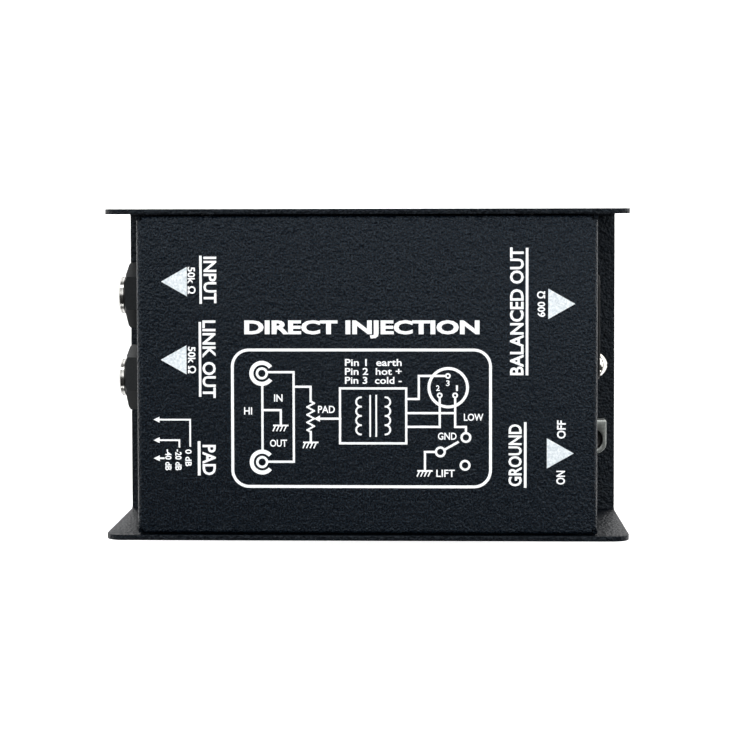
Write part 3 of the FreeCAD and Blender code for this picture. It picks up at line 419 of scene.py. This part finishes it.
def knob_finish():
    """Dull plating outside, black inside the scoop."""
    material, tree, shader = new_material("grey_knob")
    vector = object_coordinates(tree)
    centre = tree.nodes.new("ShaderNodeCombineXYZ")
    centre.inputs["X"].default_value = scoop_x
    centre.inputs["Y"].default_value = scoop_y
    apart = tree.nodes.new("ShaderNodeVectorMath")
    apart.operation = "SUBTRACT"
    tree.links.new(vector, apart.inputs[0])
    tree.links.new(centre.outputs[0], apart.inputs[1])
    flat = tree.nodes.new("ShaderNodeVectorMath")
    flat.operation = "MULTIPLY"
    flat.inputs[1].default_value = (1.0, 1.0, 0.0)
    tree.links.new(apart.outputs[0], flat.inputs[0])
    length = tree.nodes.new("ShaderNodeVectorMath")
    length.operation = "LENGTH"
    tree.links.new(flat.outputs[0], length.inputs[0])
    inside = tree.nodes.new("ShaderNodeMath")
    inside.operation = "LESS_THAN"
    inside.inputs[1].default_value = SCOOP_RADIUS + SCOOP_MARGIN
    tree.links.new(length.outputs["Value"], inside.inputs[0])
    grain = noise(tree, vector, 0.5 * MM)
    plating = two_tone(tree, grain, (0.30, 0.32, 0.305), (0.43, 0.45, 0.43))
    colour = tree.nodes.new("ShaderNodeMix")
    colour.data_type = "RGBA"
    colour.inputs["B"].default_value = (0.008, 0.008, 0.009, 1.0)
    tree.links.new(inside.outputs[0], colour.inputs["Factor"])
    tree.links.new(plating, colour.inputs["A"])
    tree.links.new(colour.outputs["Result"], shader.inputs["Base Color"])
    tree.links.new(remap(tree, grain, 0.28, 0.42), shader.inputs["Roughness"])
    tree.links.new(remap(tree, inside.outputs[0], 0.85, 0.0), shader.inputs["Metallic"])
    bump(tree, shader, grain, 0.006 * MM)
    return material


finishes["grey_knob"] = knob_finish()

# %% [markdown]
# The frame's record says which slot each CAD node belongs to, so one loop dresses all of them.

# %% Dress the CAD nodes
node_slots = {part["node"]: part["material_slot"] for part in frame["record"]["subparts"]}
for node_name, node_object in frame["nodes"].items():
    finish = finishes[node_slots[node_name]]
    node_object.data.materials.clear()
    node_object.data.materials.append(finish)
print("dressed", len(frame["nodes"]), "nodes with", len(set(node_slots.values())), "finishes")

# %% [markdown]
# A sheet-metal edge is never quite sharp under powder: the coat rounds it by a fifth of a
# millimetre, and that tiny round is what catches the light. The CAD solids end in sharp edges. So
# each visible shell is copied, its loose triangles are merged, flat areas are made whole faces
# again, and a small bevel goes on every hard edge. The copy then stands for its CAD node.


# %% Softened copies of the shells
SHARP_EDGE = 38.0


def only(objects, active):
    """Select just these objects."""
    bpy.ops.object.select_all(action="DESELECT")
    for item in objects:
        item.select_set(True)
    bpy.context.view_layer.objects.active = active


def softened(node_name, piece_name, body, edge):
    """A copy of a CAD node with rounded edges, standing for that node."""
    node = frame["nodes"][node_name]
    piece = bpy.data.objects.new(piece_name, node.data.copy())
    bpy.context.scene.collection.objects.link(piece)
    only([piece], piece)
    bpy.ops.object.mode_set(mode="EDIT")
    bpy.ops.mesh.select_all(action="SELECT")
    bpy.ops.mesh.remove_doubles(threshold=0.002 * MM)
    bpy.ops.mesh.dissolve_limited(angle_limit=math.radians(0.3))
    bpy.ops.object.mode_set(mode="OBJECT")
    round_over = piece.modifiers.new("round_over", "BEVEL")
    round_over.width = edge
    round_over.segments = 2
    round_over.limit_method = "ANGLE"
    round_over.angle_limit = math.radians(SHARP_EDGE)
    round_over.use_clamp_overlap = True
    bpy.ops.object.modifier_apply(modifier="round_over")
    bpy.ops.object.shade_smooth_by_angle(angle=math.radians(35.0))
    piece.data.materials.clear()
    piece.data.materials.append(finishes[node_slots[node_name]])
    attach(piece, body)
    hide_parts(node_name)
    print(piece_name, len(piece.data.polygons), "faces")


softened("base_channel", "channel_coated", "case", 0.22 * MM)
softened("top_cover", "cover_coated", "case", 0.18 * MM)
softened("xlr_shell", "xlr_shell_cast", "case", 0.20 * MM)
softened("rubber_feet", "feet_moulded", "case", 0.15 * MM)
softened("pad_switch_slider", "pad_knob_moulded", "pad_slider", 0.12 * MM)
softened("ground_switch_slider", "ground_knob_plated", "ground_slider", 0.15 * MM)

# %% [markdown]
# The jack bush is one turned part, but its finish changes along it: a dark threaded stretch that
# the nut runs on, and a bright ring at the mouth. Turning is drawn as on a lathe: start from one
# ring of the bore, then pull it out and scale it for each step of the outline.


# %% A lathe
def turned(name, centre, outward, outline, segments=64):
    """Draw an outline of (distance along outward, radius) pairs round an axis, in millimetres."""
    turn = Vector((0, 0, 1)).rotation_difference(outward).to_euler()
    first_along, first_radius = outline[0]
    bpy.ops.object.select_all(action="DESELECT")
    bpy.ops.mesh.primitive_circle_add(vertices=segments, radius=first_radius * MM,
                                      fill_type="NOTHING", rotation=turn,
                                      location=centre + outward * first_along * MM)
    piece = bpy.context.object
    piece.name = name
    bpy.ops.object.transform_apply(location=True, rotation=True, scale=True)
    bpy.ops.object.mode_set(mode="EDIT")
    bpy.ops.mesh.select_all(action="SELECT")
    along, radius = first_along, first_radius
    for next_along, next_radius in outline[1:]:
        step = outward * (next_along - along) * MM
        bpy.ops.mesh.extrude_edges_move(TRANSFORM_OT_translate={"value": step})
        grow = next_radius / radius
        middle = centre + outward * next_along * MM
        size = [1.0 if abs(axis) > 0.5 else grow for axis in outward]
        bpy.ops.transform.resize(value=size, center_override=middle)
        along, radius = next_along, next_radius
    if radius < 0.02:
        bpy.ops.mesh.edge_collapse()
    bpy.ops.mesh.select_all(action="SELECT")
    bpy.ops.mesh.remove_doubles(threshold=0.001 * MM)
    bpy.ops.mesh.normals_make_consistent(inside=False)
    bpy.ops.object.mode_set(mode="OBJECT")
    bpy.ops.object.shade_smooth_by_angle(angle=math.radians(40.0))
    return piece


# %% Jack bushes
JACK_BORE = 3.2
BUSH_RADIUS = 4.7
FLANGE_THICKNESS = 1.2
RING_LENGTH = 1.35
THREAD_PITCH = 0.75
THREAD_DEPTH = 0.32


def bush_finish(ring_face_x):
    """Bright plating outside a plane across the bush, dark oxide inside it."""
    material, tree, shader = new_material("bush_two_tone")
    vector = object_coordinates(tree)
    axes = tree.nodes.new("ShaderNodeSeparateXYZ")
    tree.links.new(vector, axes.inputs[0])
    dark_side = tree.nodes.new("ShaderNodeMath")
    dark_side.operation = "GREATER_THAN"
    dark_side.inputs[1].default_value = ring_face_x
    tree.links.new(axes.outputs["X"], dark_side.inputs[0])
    lathe_marks = noise(tree, object_coordinates(tree, (1.0, 0.05, 0.05)), 0.10 * MM)
    plating = two_tone(tree, lathe_marks, (0.26, 0.26, 0.25), (0.52, 0.51, 0.49))
    colour = tree.nodes.new("ShaderNodeMix")
    colour.data_type = "RGBA"
    colour.inputs["B"].default_value = (0.010, 0.010, 0.011, 1.0)
    tree.links.new(dark_side.outputs[0], colour.inputs["Factor"])
    tree.links.new(plating, colour.inputs["A"])
    tree.links.new(colour.outputs["Result"], shader.inputs["Base Color"])
    tree.links.new(remap(tree, dark_side.outputs[0], 1.0, 0.0), shader.inputs["Metallic"])
    tree.links.new(remap(tree, dark_side.outputs[0], 0.17, 0.50), shader.inputs["Roughness"])
    bump(tree, shader, lathe_marks, 0.004 * MM)
    return material


def bush_outline(reach, bore, outer, flange_radius, flange):
    """The outline of a bush, from the bore's back edge, out through the mouth and back."""
    ring_back = reach - RING_LENGTH
    outline = [(0.0, bore), (reach - 0.35, bore), (reach - 0.08, bore + 0.22),
               (reach, bore + 0.50), (reach, outer - 0.55), (reach - 0.10, outer - 0.22),
               (reach - 0.35, outer), (reach - 0.60, outer), (reach - 0.66, outer - 0.14),
               (reach - 0.76, outer - 0.14), (reach - 0.82, outer), (ring_back + 0.12, outer),
               (ring_back, outer - 0.12), (ring_back - 0.02, outer - THREAD_DEPTH)]
    along = ring_back - 0.25
    while along - THREAD_PITCH > flange + 0.2:
        outline += [(along, outer - THREAD_DEPTH), (along - 0.28, outer - 0.06),
                    (along - 0.42, outer - 0.06), (along - 0.70, outer - THREAD_DEPTH)]
        along -= THREAD_PITCH
    return outline + [(flange, outer - THREAD_DEPTH), (flange, flange_radius),
                      (0.0, flange_radius), (0.0, bore)]


for jack in ("input_jack", "link_jack"):
    low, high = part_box(jack + "_bush")
    nut_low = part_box(jack + "_nut")[0]
    middle = (low + high) / 2
    flange_radius = (high.y - low.y) / 2 / MM
    outline = bush_outline((high.x - low.x) / MM, JACK_BORE, BUSH_RADIUS, flange_radius,
                           FLANGE_THICKNESS)
    bush = turned(jack + "_bush_turned", Vector((high.x, middle.y, middle.z)),
                  Vector((-1, 0, 0)), outline)
    bush.data.materials.append(bush_finish(low.x + RING_LENGTH * MM))
    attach(bush, "case")
    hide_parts(jack + "_bush")
    print(bush.name, len(bush.data.polygons), "faces; nut face", round(nut_low.x / MM, 2))

# %% [markdown]
# The flange of the XLR socket is held by two raised-head screws. Seen from above only the dome of
# one shows, bright against the black end, so it gets its true outline: a thin rim, then a dome
# that comes almost to a point, with a cross recess in the middle.

# %% XLR screws
HEAD_RADIUS = 2.8
HEAD_HEIGHT = 2.16
RECESS_REACH, RECESS_WIDTH, RECESS_DEPTH = 3.0, 0.55, 1.3
RECESS_TAPER = 0.55
SHANK = ((-8.0, 0.02), (-8.0, 1.1), (-7.6, 1.43), (0.0, 1.43))
DOME = ((0.0, 2.62), (0.10, 2.76), (0.34, HEAD_RADIUS), (0.62, 2.70), (0.95, 2.42), (1.30, 2.02),
        (1.62, 1.56), (1.90, 1.02), (2.08, 0.50), (HEAD_HEIGHT, 0.02))


def driver_recess(centre):
    """The two arms of a cross-shaped cutter that narrows as it goes in, along X."""
    arms = []
    for wide, high in ((RECESS_REACH, RECESS_WIDTH), (RECESS_WIDTH, RECESS_REACH)):
        bpy.ops.object.select_all(action="DESELECT")
        bpy.ops.mesh.primitive_cube_add(size=1.0, location=centre)
        arm = bpy.context.object
        arm.scale = (RECESS_DEPTH * 2 * MM, wide * MM, high * MM)
        bpy.ops.object.transform_apply(location=True, rotation=False, scale=True)
        for vertex in arm.data.vertices:
            if vertex.co.x < centre.x:
                vertex.co.yz = centre.yz + (vertex.co.yz - centre.yz) * RECESS_TAPER
        arms.append(arm)
    return arms


screw_low, screw_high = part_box("xlr_screws")
flange_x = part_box("xlr_shell")[1].x
inset = HEAD_RADIUS * MM
screws = []
for centre in (Vector((flange_x, screw_low.y + inset, screw_high.z - inset)),
               Vector((flange_x, screw_high.y - inset, screw_low.z + inset))):
    screw = turned("xlr_screw_blank", centre, Vector((1, 0, 0)), SHANK + DOME, 48)
    for arm in driver_recess(centre + Vector((HEAD_HEIGHT * MM, 0, 0))):
        cut = screw.modifiers.new("recess", "BOOLEAN")
        cut.operation = "DIFFERENCE"
        cut.solver = "EXACT"
        cut.object = arm
        only([screw], screw)
        bpy.ops.object.modifier_apply(modifier="recess")
        bpy.data.objects.remove(arm)
    screws.append(screw)
only(screws, screws[0])
bpy.ops.object.join()
screws = bpy.context.object
screws.name = "xlr_screws_domed"
bpy.ops.object.shade_smooth_by_angle(angle=math.radians(35.0))
screws.data.materials.clear()
screws.data.materials.append(finishes["nickel_screw"])
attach(screws, "case")
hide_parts("xlr_screws")
tip = max(vertex.co.x for vertex in screws.data.vertices)
print("screws", len(screws.data.polygons), "faces, tip", round(tip / MM, 2))

# %% [markdown]
# The legends are screen printed: a film of white ink, about a twenty-fifth of a millimetre thick,
# that stands on the powder coat. Each stroke could be a texture, but a mesh keeps its edge sharp
# in every view. Strokes that cross are united, so no two faces lie in one plane.

# %% Ink
ink_white = grained("ink_white", (0.84, 0.86, 0.88), (0.93, 0.94, 0.95), (0.45, 0.60),
                    0.30 * MM, 0.006 * MM)
ink_grey = grained("ink_grey", (0.50, 0.56, 0.60), (0.78, 0.82, 0.84), (0.50, 0.65),
                   0.45 * MM, 0.006 * MM)
INK_THICKNESS = 0.04 * MM
INK_LEVEL = COVER_TOP + INK_THICKNESS / 2
PRINT_X, PRINT_Y = 0.13, 0.15
LINE = 0.55
FINE_LINE = 0.42
print("print register", PRINT_X, PRINT_Y, "mm")


def spot(x, y):
    """A place on the cover, in metres, from the artwork's own millimetres."""
    return Vector(((x + PRINT_X) * MM, (y + PRINT_Y) * MM, INK_LEVEL))


def bar(x0, y0, x1, y1, width=LINE):
    """A straight stroke between two points, square at its ends."""
    start, end = spot(x0, y0), spot(x1, y1)
    run = end - start
    bpy.ops.object.select_all(action="DESELECT")
    bpy.ops.mesh.primitive_cube_add(size=1.0, location=(start + end) / 2,
                                    rotation=(0.0, 0.0, math.atan2(run.y, run.x)))
    piece = bpy.context.object
    piece.scale = (run.length + width * MM, width * MM, INK_THICKNESS)
    bpy.ops.object.transform_apply(location=True, rotation=True, scale=True)
    return piece


def path(points, width=LINE):
    """Straight strokes one after the other."""
    return [bar(*a, *b, width) for a, b in zip(points, points[1:])]


def film(piece):
    """Give a flat outline the ink's thickness."""
    only([piece], piece)
    bpy.ops.object.mode_set(mode="EDIT")
    bpy.ops.mesh.select_all(action="SELECT")
    bpy.ops.mesh.extrude_region_move(TRANSFORM_OT_translate={"value": (0, 0, INK_THICKNESS)})
    bpy.ops.mesh.select_all(action="SELECT")
    bpy.ops.mesh.normals_make_consistent(inside=False)
    bpy.ops.object.mode_set(mode="OBJECT")
    return piece


def flat_outline(vertices, radius, place):
    """A flat filled circle at the film's lower face, to be shaped further."""
    bpy.ops.object.select_all(action="DESELECT")
    bpy.ops.mesh.primitive_circle_add(vertices=vertices, radius=radius, fill_type="NGON",
                                      location=place - Vector((0, 0, INK_THICKNESS / 2)))
    bpy.ops.object.transform_apply(location=True, rotation=True, scale=True)
    return bpy.context.object


def ring(x, y, outer, inner, opening=0.0):
    """A ring about a point, with an opening of so many degrees to the right."""
    place = spot(x, y)
    piece = flat_outline(72, outer * MM, place)
    bpy.ops.object.mode_set(mode="EDIT")
    bpy.ops.mesh.select_all(action="SELECT")
    bpy.ops.mesh.inset(thickness=(outer - inner) * MM)
    bpy.ops.mesh.delete(type="FACE")
    bpy.ops.mesh.select_mode(type="FACE")
    bpy.ops.mesh.select_all(action="DESELECT")
    bpy.ops.object.mode_set(mode="OBJECT")
    for face in piece.data.polygons:
        offset = face.center - place
        face.select = abs(math.degrees(math.atan2(offset.y, offset.x))) < opening / 2
    bpy.ops.object.mode_set(mode="EDIT")
    bpy.ops.mesh.delete(type="FACE")
    bpy.ops.mesh.select_mode(type="VERT")
    bpy.ops.object.mode_set(mode="OBJECT")
    return film(piece)


def triangle(x, y, reach, half_width):
    """A solid arrowhead whose base is centred on a point; reach is negative to point to -X."""
    piece = flat_outline(3, MM, spot(x, y))
    corners = [(x + reach, y), (x, y + half_width), (x, y - half_width)]
    if reach < 0:
        corners.reverse()
    for vertex, corner in zip(piece.data.vertices, corners):
        vertex.co.xy = spot(*corner).xy
    return film(piece)


def words(text, x, y, length, height, turn=0.0, weight=0.0):
    """Printed words centred on a point: length along the line, and letter height."""
    bpy.ops.object.select_all(action="DESELECT")
    bpy.ops.object.text_add(location=(0, 0, 0))
    piece = bpy.context.object
    piece.data.body = text
    piece.data.offset = weight
    piece.data.resolution_u = 3
    piece.data.extrude = 0.5
    bpy.ops.object.convert(target="MESH")
    xs = [v.co.x for v in piece.data.vertices]
    ys = [v.co.y for v in piece.data.vertices]
    centre = Matrix.Translation((-(min(xs) + max(xs)) / 2, -(min(ys) + max(ys)) / 2, 0))
    size = Matrix.Diagonal((length * MM / (max(xs) - min(xs)), height * MM / (max(ys) - min(ys)),
                            INK_THICKNESS, 1))
    place = Matrix.Translation(spot(x, y)) @ Matrix.Rotation(math.radians(turn), 4, "Z")
    piece.data.transform(place @ size @ centre)
    return piece


def print_on_cover(name, strokes, lettering, ink):
    """Unite crossing strokes, add the words, and fix the print to the case."""
    if strokes:
        only(strokes, strokes[0])
        bpy.ops.object.join()
        drawn = bpy.context.object
        bpy.ops.object.mode_set(mode="EDIT")
        bpy.ops.mesh.select_all(action="SELECT")
        bpy.ops.mesh.intersect_boolean(operation="UNION", use_self=True, threshold=1e-8,
                                       solver="EXACT")
        bpy.ops.object.mode_set(mode="OBJECT")
        lettering = [drawn] + lettering
    only(lettering, lettering[0])
    bpy.ops.object.join()
    piece = bpy.context.object
    piece.name = name
    bpy.ops.object.mode_set(mode="EDIT")
    bpy.ops.mesh.select_all(action="SELECT")
    bpy.ops.mesh.remove_doubles(threshold=0.0002 * MM)
    bpy.ops.object.mode_set(mode="OBJECT")
    bpy.ops.object.shade_flat()
    piece.data.materials.clear()
    piece.data.materials.append(ink)
    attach(piece, "case")
    tops = sum(face.area for face in piece.data.polygons if face.normal.z > 0.9)
    print(name, len(piece.data.polygons), "faces,", round(tops / MM ** 2, 1), "mm2 of ink")


# %% [markdown]
# The left block names the two jacks and the pad switch. Its words read downwards, each over a
# rule, and a solid arrowhead points to each jack. Three thin arrows lead to the pad's positions.
# The right block does the same for the XLR socket and the ground switch, and reads upwards.

# %% Left block
READ_DOWN = -90.0
READ_UP = 90.0
BOLD = 0.022
ARROW_TIP_X = -52.9
rules = [bar(-41.0, 29.1, -41.0, 17.8, 0.6), bar(-41.25, 12.7, -41.25, -5.2, 0.6),
         bar(-41.6, -16.9, -41.6, -24.7, 0.7)]
for elbow_x, arrow_y, foot_y in (
        (-43.8, -11.2, -17.7), (-46.5, -16.3, -17.9), (-50.4, -20.8, -20.8)):
    route = [(ARROW_TIP_X + 1.2, arrow_y), (elbow_x, arrow_y)]
    if foot_y != arrow_y:
        route.append((elbow_x, foot_y))
    rules += path(route, FINE_LINE)
    rules.append(triangle(ARROW_TIP_X + 1.5, arrow_y, -1.5, 0.72))
lettering = [
    words("INPUT", -38.7, 23.4, 11.5, 3.2, READ_DOWN, BOLD),
    words("50k \u03a9", -43.25, 23.3, 6.6, 2.0, READ_DOWN, BOLD),
    words("LINK OUT", -39.0, 3.8, 19.2, 3.3, READ_DOWN, BOLD),
    words("50k \u03a9", -43.25, 3.6, 6.6, 2.0, READ_DOWN, BOLD),
    words("PAD", -39.1, -21.2, 7.5, 3.3, READ_DOWN, BOLD),
    words("0 dB", -44.25, -20.7, 4.2, 1.6, READ_DOWN, BOLD),
    words("-20 dB", -46.75, -21.2, 5.2, 1.6, READ_DOWN, BOLD),
    words("-40 dB", -49.25, -21.2, 5.2, 1.6, READ_DOWN, BOLD)]
print_on_cover("legend_jacks", rules, lettering, ink_white)
print_on_cover("arrowheads_jacks", [],
               [triangle(-44.4, 23.0, -6.4, 3.65), triangle(-44.6, 3.65, -6.4, 3.6)], ink_grey)

# %% Right block
rules = [bar(39.4, 30.9, 39.4, 0.2, 0.65), bar(39.0, -12.0, 39.0, -27.6, 0.65)]
lettering = [
    words("BALANCED OUT", 36.9, 15.6, 31.4, 3.4, READ_UP, BOLD),
    words("600 \u03a9", 42.85, 17.4, 6.3, 2.0, READ_UP, BOLD),
    words("GROUND", 36.5, -19.9, 15.3, 3.3, READ_UP, BOLD),
    words("OFF", 47.85, -13.5, 4.5, 2.2, READ_UP, BOLD),
    words("ON", 47.7, -25.4, 3.4, 2.2, READ_UP, BOLD)]
print_on_cover("legend_outputs", rules, lettering, ink_white)
print_on_cover("arrowheads_outputs", [],
               [triangle(44.6, 17.45, 6.6, 3.75), triangle(44.3, -19.4, 6.6, 3.75)], ink_grey)

# %% [markdown]
# Across the middle stand the title, in plain capitals, and a wiring diagram in a round-cornered
# frame. The diagram uses the standard signs for jacks, a variable resistor, a transformer, a
# three-pin connector, a switch and earth.

# %% Title
print_on_cover("title", [],
               [words("DIRECT INJECTION", -1.25, 11.2, 58.0, 4.5, 0.0, 0.04)], ink_white)


# %% Diagram signs
def earth(x, y):
    """The sign for chassis earth: a level stroke with slanting ones that hang from it."""
    strokes = [bar(x - 1.7, y, x + 1.7, y, 0.4)]
    for step in (-1.3, -0.4, 0.5, 1.4):
        strokes.append(bar(x + step, y, x + step - 0.6, y - 1.3, 0.3))
    return strokes


def zigzag(x, top, bottom, swing, turns):
    """The sign for a resistor, drawn downwards."""
    step = (top - bottom) / (2 * turns)
    points = [(x, top)]
    for index in range(2 * turns):
        side = swing if index % 2 == 0 else -swing
        points.append((x + side, top - step * (index + 0.5)))
    points.append((x, bottom))
    return path(points, FINE_LINE)


def coil(x, top, bottom, side, turns):
    """Half rings one under the other: one winding of a transformer."""
    pitch = (top - bottom) / turns
    steps = 8
    points = []
    for turn in range(turns):
        for index in range(steps + 1):
            angle = math.pi * index / steps
            points.append((x + side * math.sin(angle) * pitch / 2,
                           top - pitch * (turn + 0.5) + math.cos(angle) * pitch / 2))
        points.pop()
    points.append((x, bottom))
    return path(points, FINE_LINE)


def rounded_frame(low, high, corner, width):
    """A round-cornered rectangular outline."""
    centre = spot((low[0] + high[0]) / 2, (low[1] + high[1]) / 2)
    bpy.ops.object.select_all(action="DESELECT")
    bpy.ops.mesh.primitive_plane_add(size=1.0, location=centre - Vector((0, 0, INK_THICKNESS / 2)))
    piece = bpy.context.object
    piece.scale = ((high[0] - low[0]) * MM, (high[1] - low[1]) * MM, 1.0)
    bpy.ops.object.transform_apply(location=True, scale=True)
    bpy.ops.object.mode_set(mode="EDIT")
    bpy.ops.mesh.select_all(action="SELECT")
    bpy.ops.mesh.bevel(offset=corner * MM, segments=12, affect="VERTICES")
    bpy.ops.mesh.select_all(action="SELECT")
    bpy.ops.mesh.inset(thickness=width * MM)
    bpy.ops.mesh.delete(type="FACE")
    bpy.ops.object.mode_set(mode="OBJECT")
    return film(piece)


# %% Diagram, input side
diagram = [rounded_frame((-33.6, -28.1), (30.8, 6.45), 4.45, 0.7)]
for jack_y in (0.3, -21.7):
    diagram.append(ring(-25.95, jack_y, 3.1, 2.1, 75.0))
    diagram.append(ring(-25.95, jack_y, 1.5, 0.9))
diagram += path([(-25.85, -3.0), (-25.85, -18.5)])
diagram += path([(-25.85, -8.8), (-21.3, -8.8), (-21.3, -12.6)])
diagram += earth(-21.3, -12.6)
diagram += path([(-24.6, 0.6), (-18.1, 0.6), (-18.1, -21.6), (-24.6, -21.6)])
diagram += path([(-18.1, -3.0), (-13.9, -3.0), (-13.9, -6.6)])
diagram += zigzag(-13.9, -6.6, -14.2, 0.85, 4)
diagram += path([(-13.9, -14.2), (-13.9, -16.8)])
diagram += earth(-13.9, -16.8)
diagram += path([(-6.6, -10.9), (-11.6, -10.9)])
diagram.append(triangle(-11.6, -10.9, -1.5, 0.8))

# %% Diagram, transformer and output side
diagram += path([(-6.65, -3.4), (9.7, -3.4), (9.7, -17.0), (-6.65, -17.0), (-6.65, -3.4)])
diagram += coil(-1.5, -5.6, -14.8, -1, 4)
diagram += coil(4.6, -5.6, -14.8, 1, 4)
diagram += path([(0.8, -5.2), (0.8, -15.2)], 0.4)
diagram += path([(2.3, -5.2), (2.3, -15.2)], 0.4)
diagram.append(ring(20.05, -3.2, 5.1, 4.4))
for pin_x, pin_y in ((19.97, -0.3), (17.95, -5.1), (21.75, -5.1)):
    diagram.append(ring(pin_x, pin_y, 0.7, 0.3))
diagram += path([(9.7, -6.0), (12.8, -6.0), (12.8, -0.3), (19.3, -0.3)])
diagram += path([(9.7, -9.5), (21.75, -9.5)])
diagram += path([(9.7, -12.9), (17.95, -12.9), (17.95, -5.8)])
diagram += path([(21.75, -5.8), (21.75, -12.9), (24.4, -12.9), (24.4, -14.3)])
for switch_x, switch_y in ((24.4, -15.5), (24.2, -22.4), (18.1, -19.1)):
    diagram.append(ring(switch_x, switch_y, 1.35, 0.8))
diagram += path([(19.2, -18.5), (22.4, -16.7)])
diagram += path([(16.9, -19.1), (14.3, -19.1), (14.3, -23.8)])
diagram += earth(14.3, -23.8)

# %% Diagram, its words
lettering = []
for text, x, y, length, height in (
        ("HI", -29.4, -9.0, 2.0, 1.8), ("IN", -21.9, -5.8, 2.1, 1.8),
        ("OUT", -21.9, -17.0, 4.2, 1.8), ("PAD", -10.0, -8.6, 4.2, 1.8),
        ("LOW", 26.3, -10.5, 4.8, 1.8), ("GND", 19.8, -15.2, 4.6, 1.8),
        ("LIFT", 19.4, -24.4, 4.6, 1.8), ("Pin 1  earth", 1.6, 3.0, 14.0, 1.75),
        ("Pin 2  hot +", 1.6, 0.8, 14.0, 1.75), ("Pin 3  cold -", 1.6, -1.4, 14.0, 1.75),
        ("3", 19.97, -2.1, 0.9, 1.4), ("2", 17.5, -3.3, 0.9, 1.4), ("1", 22.2, -3.3, 0.5, 1.4)):
    lettering.append(words(text, x, y, length, height, 0.0, 0.016))
print_on_cover("wiring_diagram", diagram, lettering, ink_white)
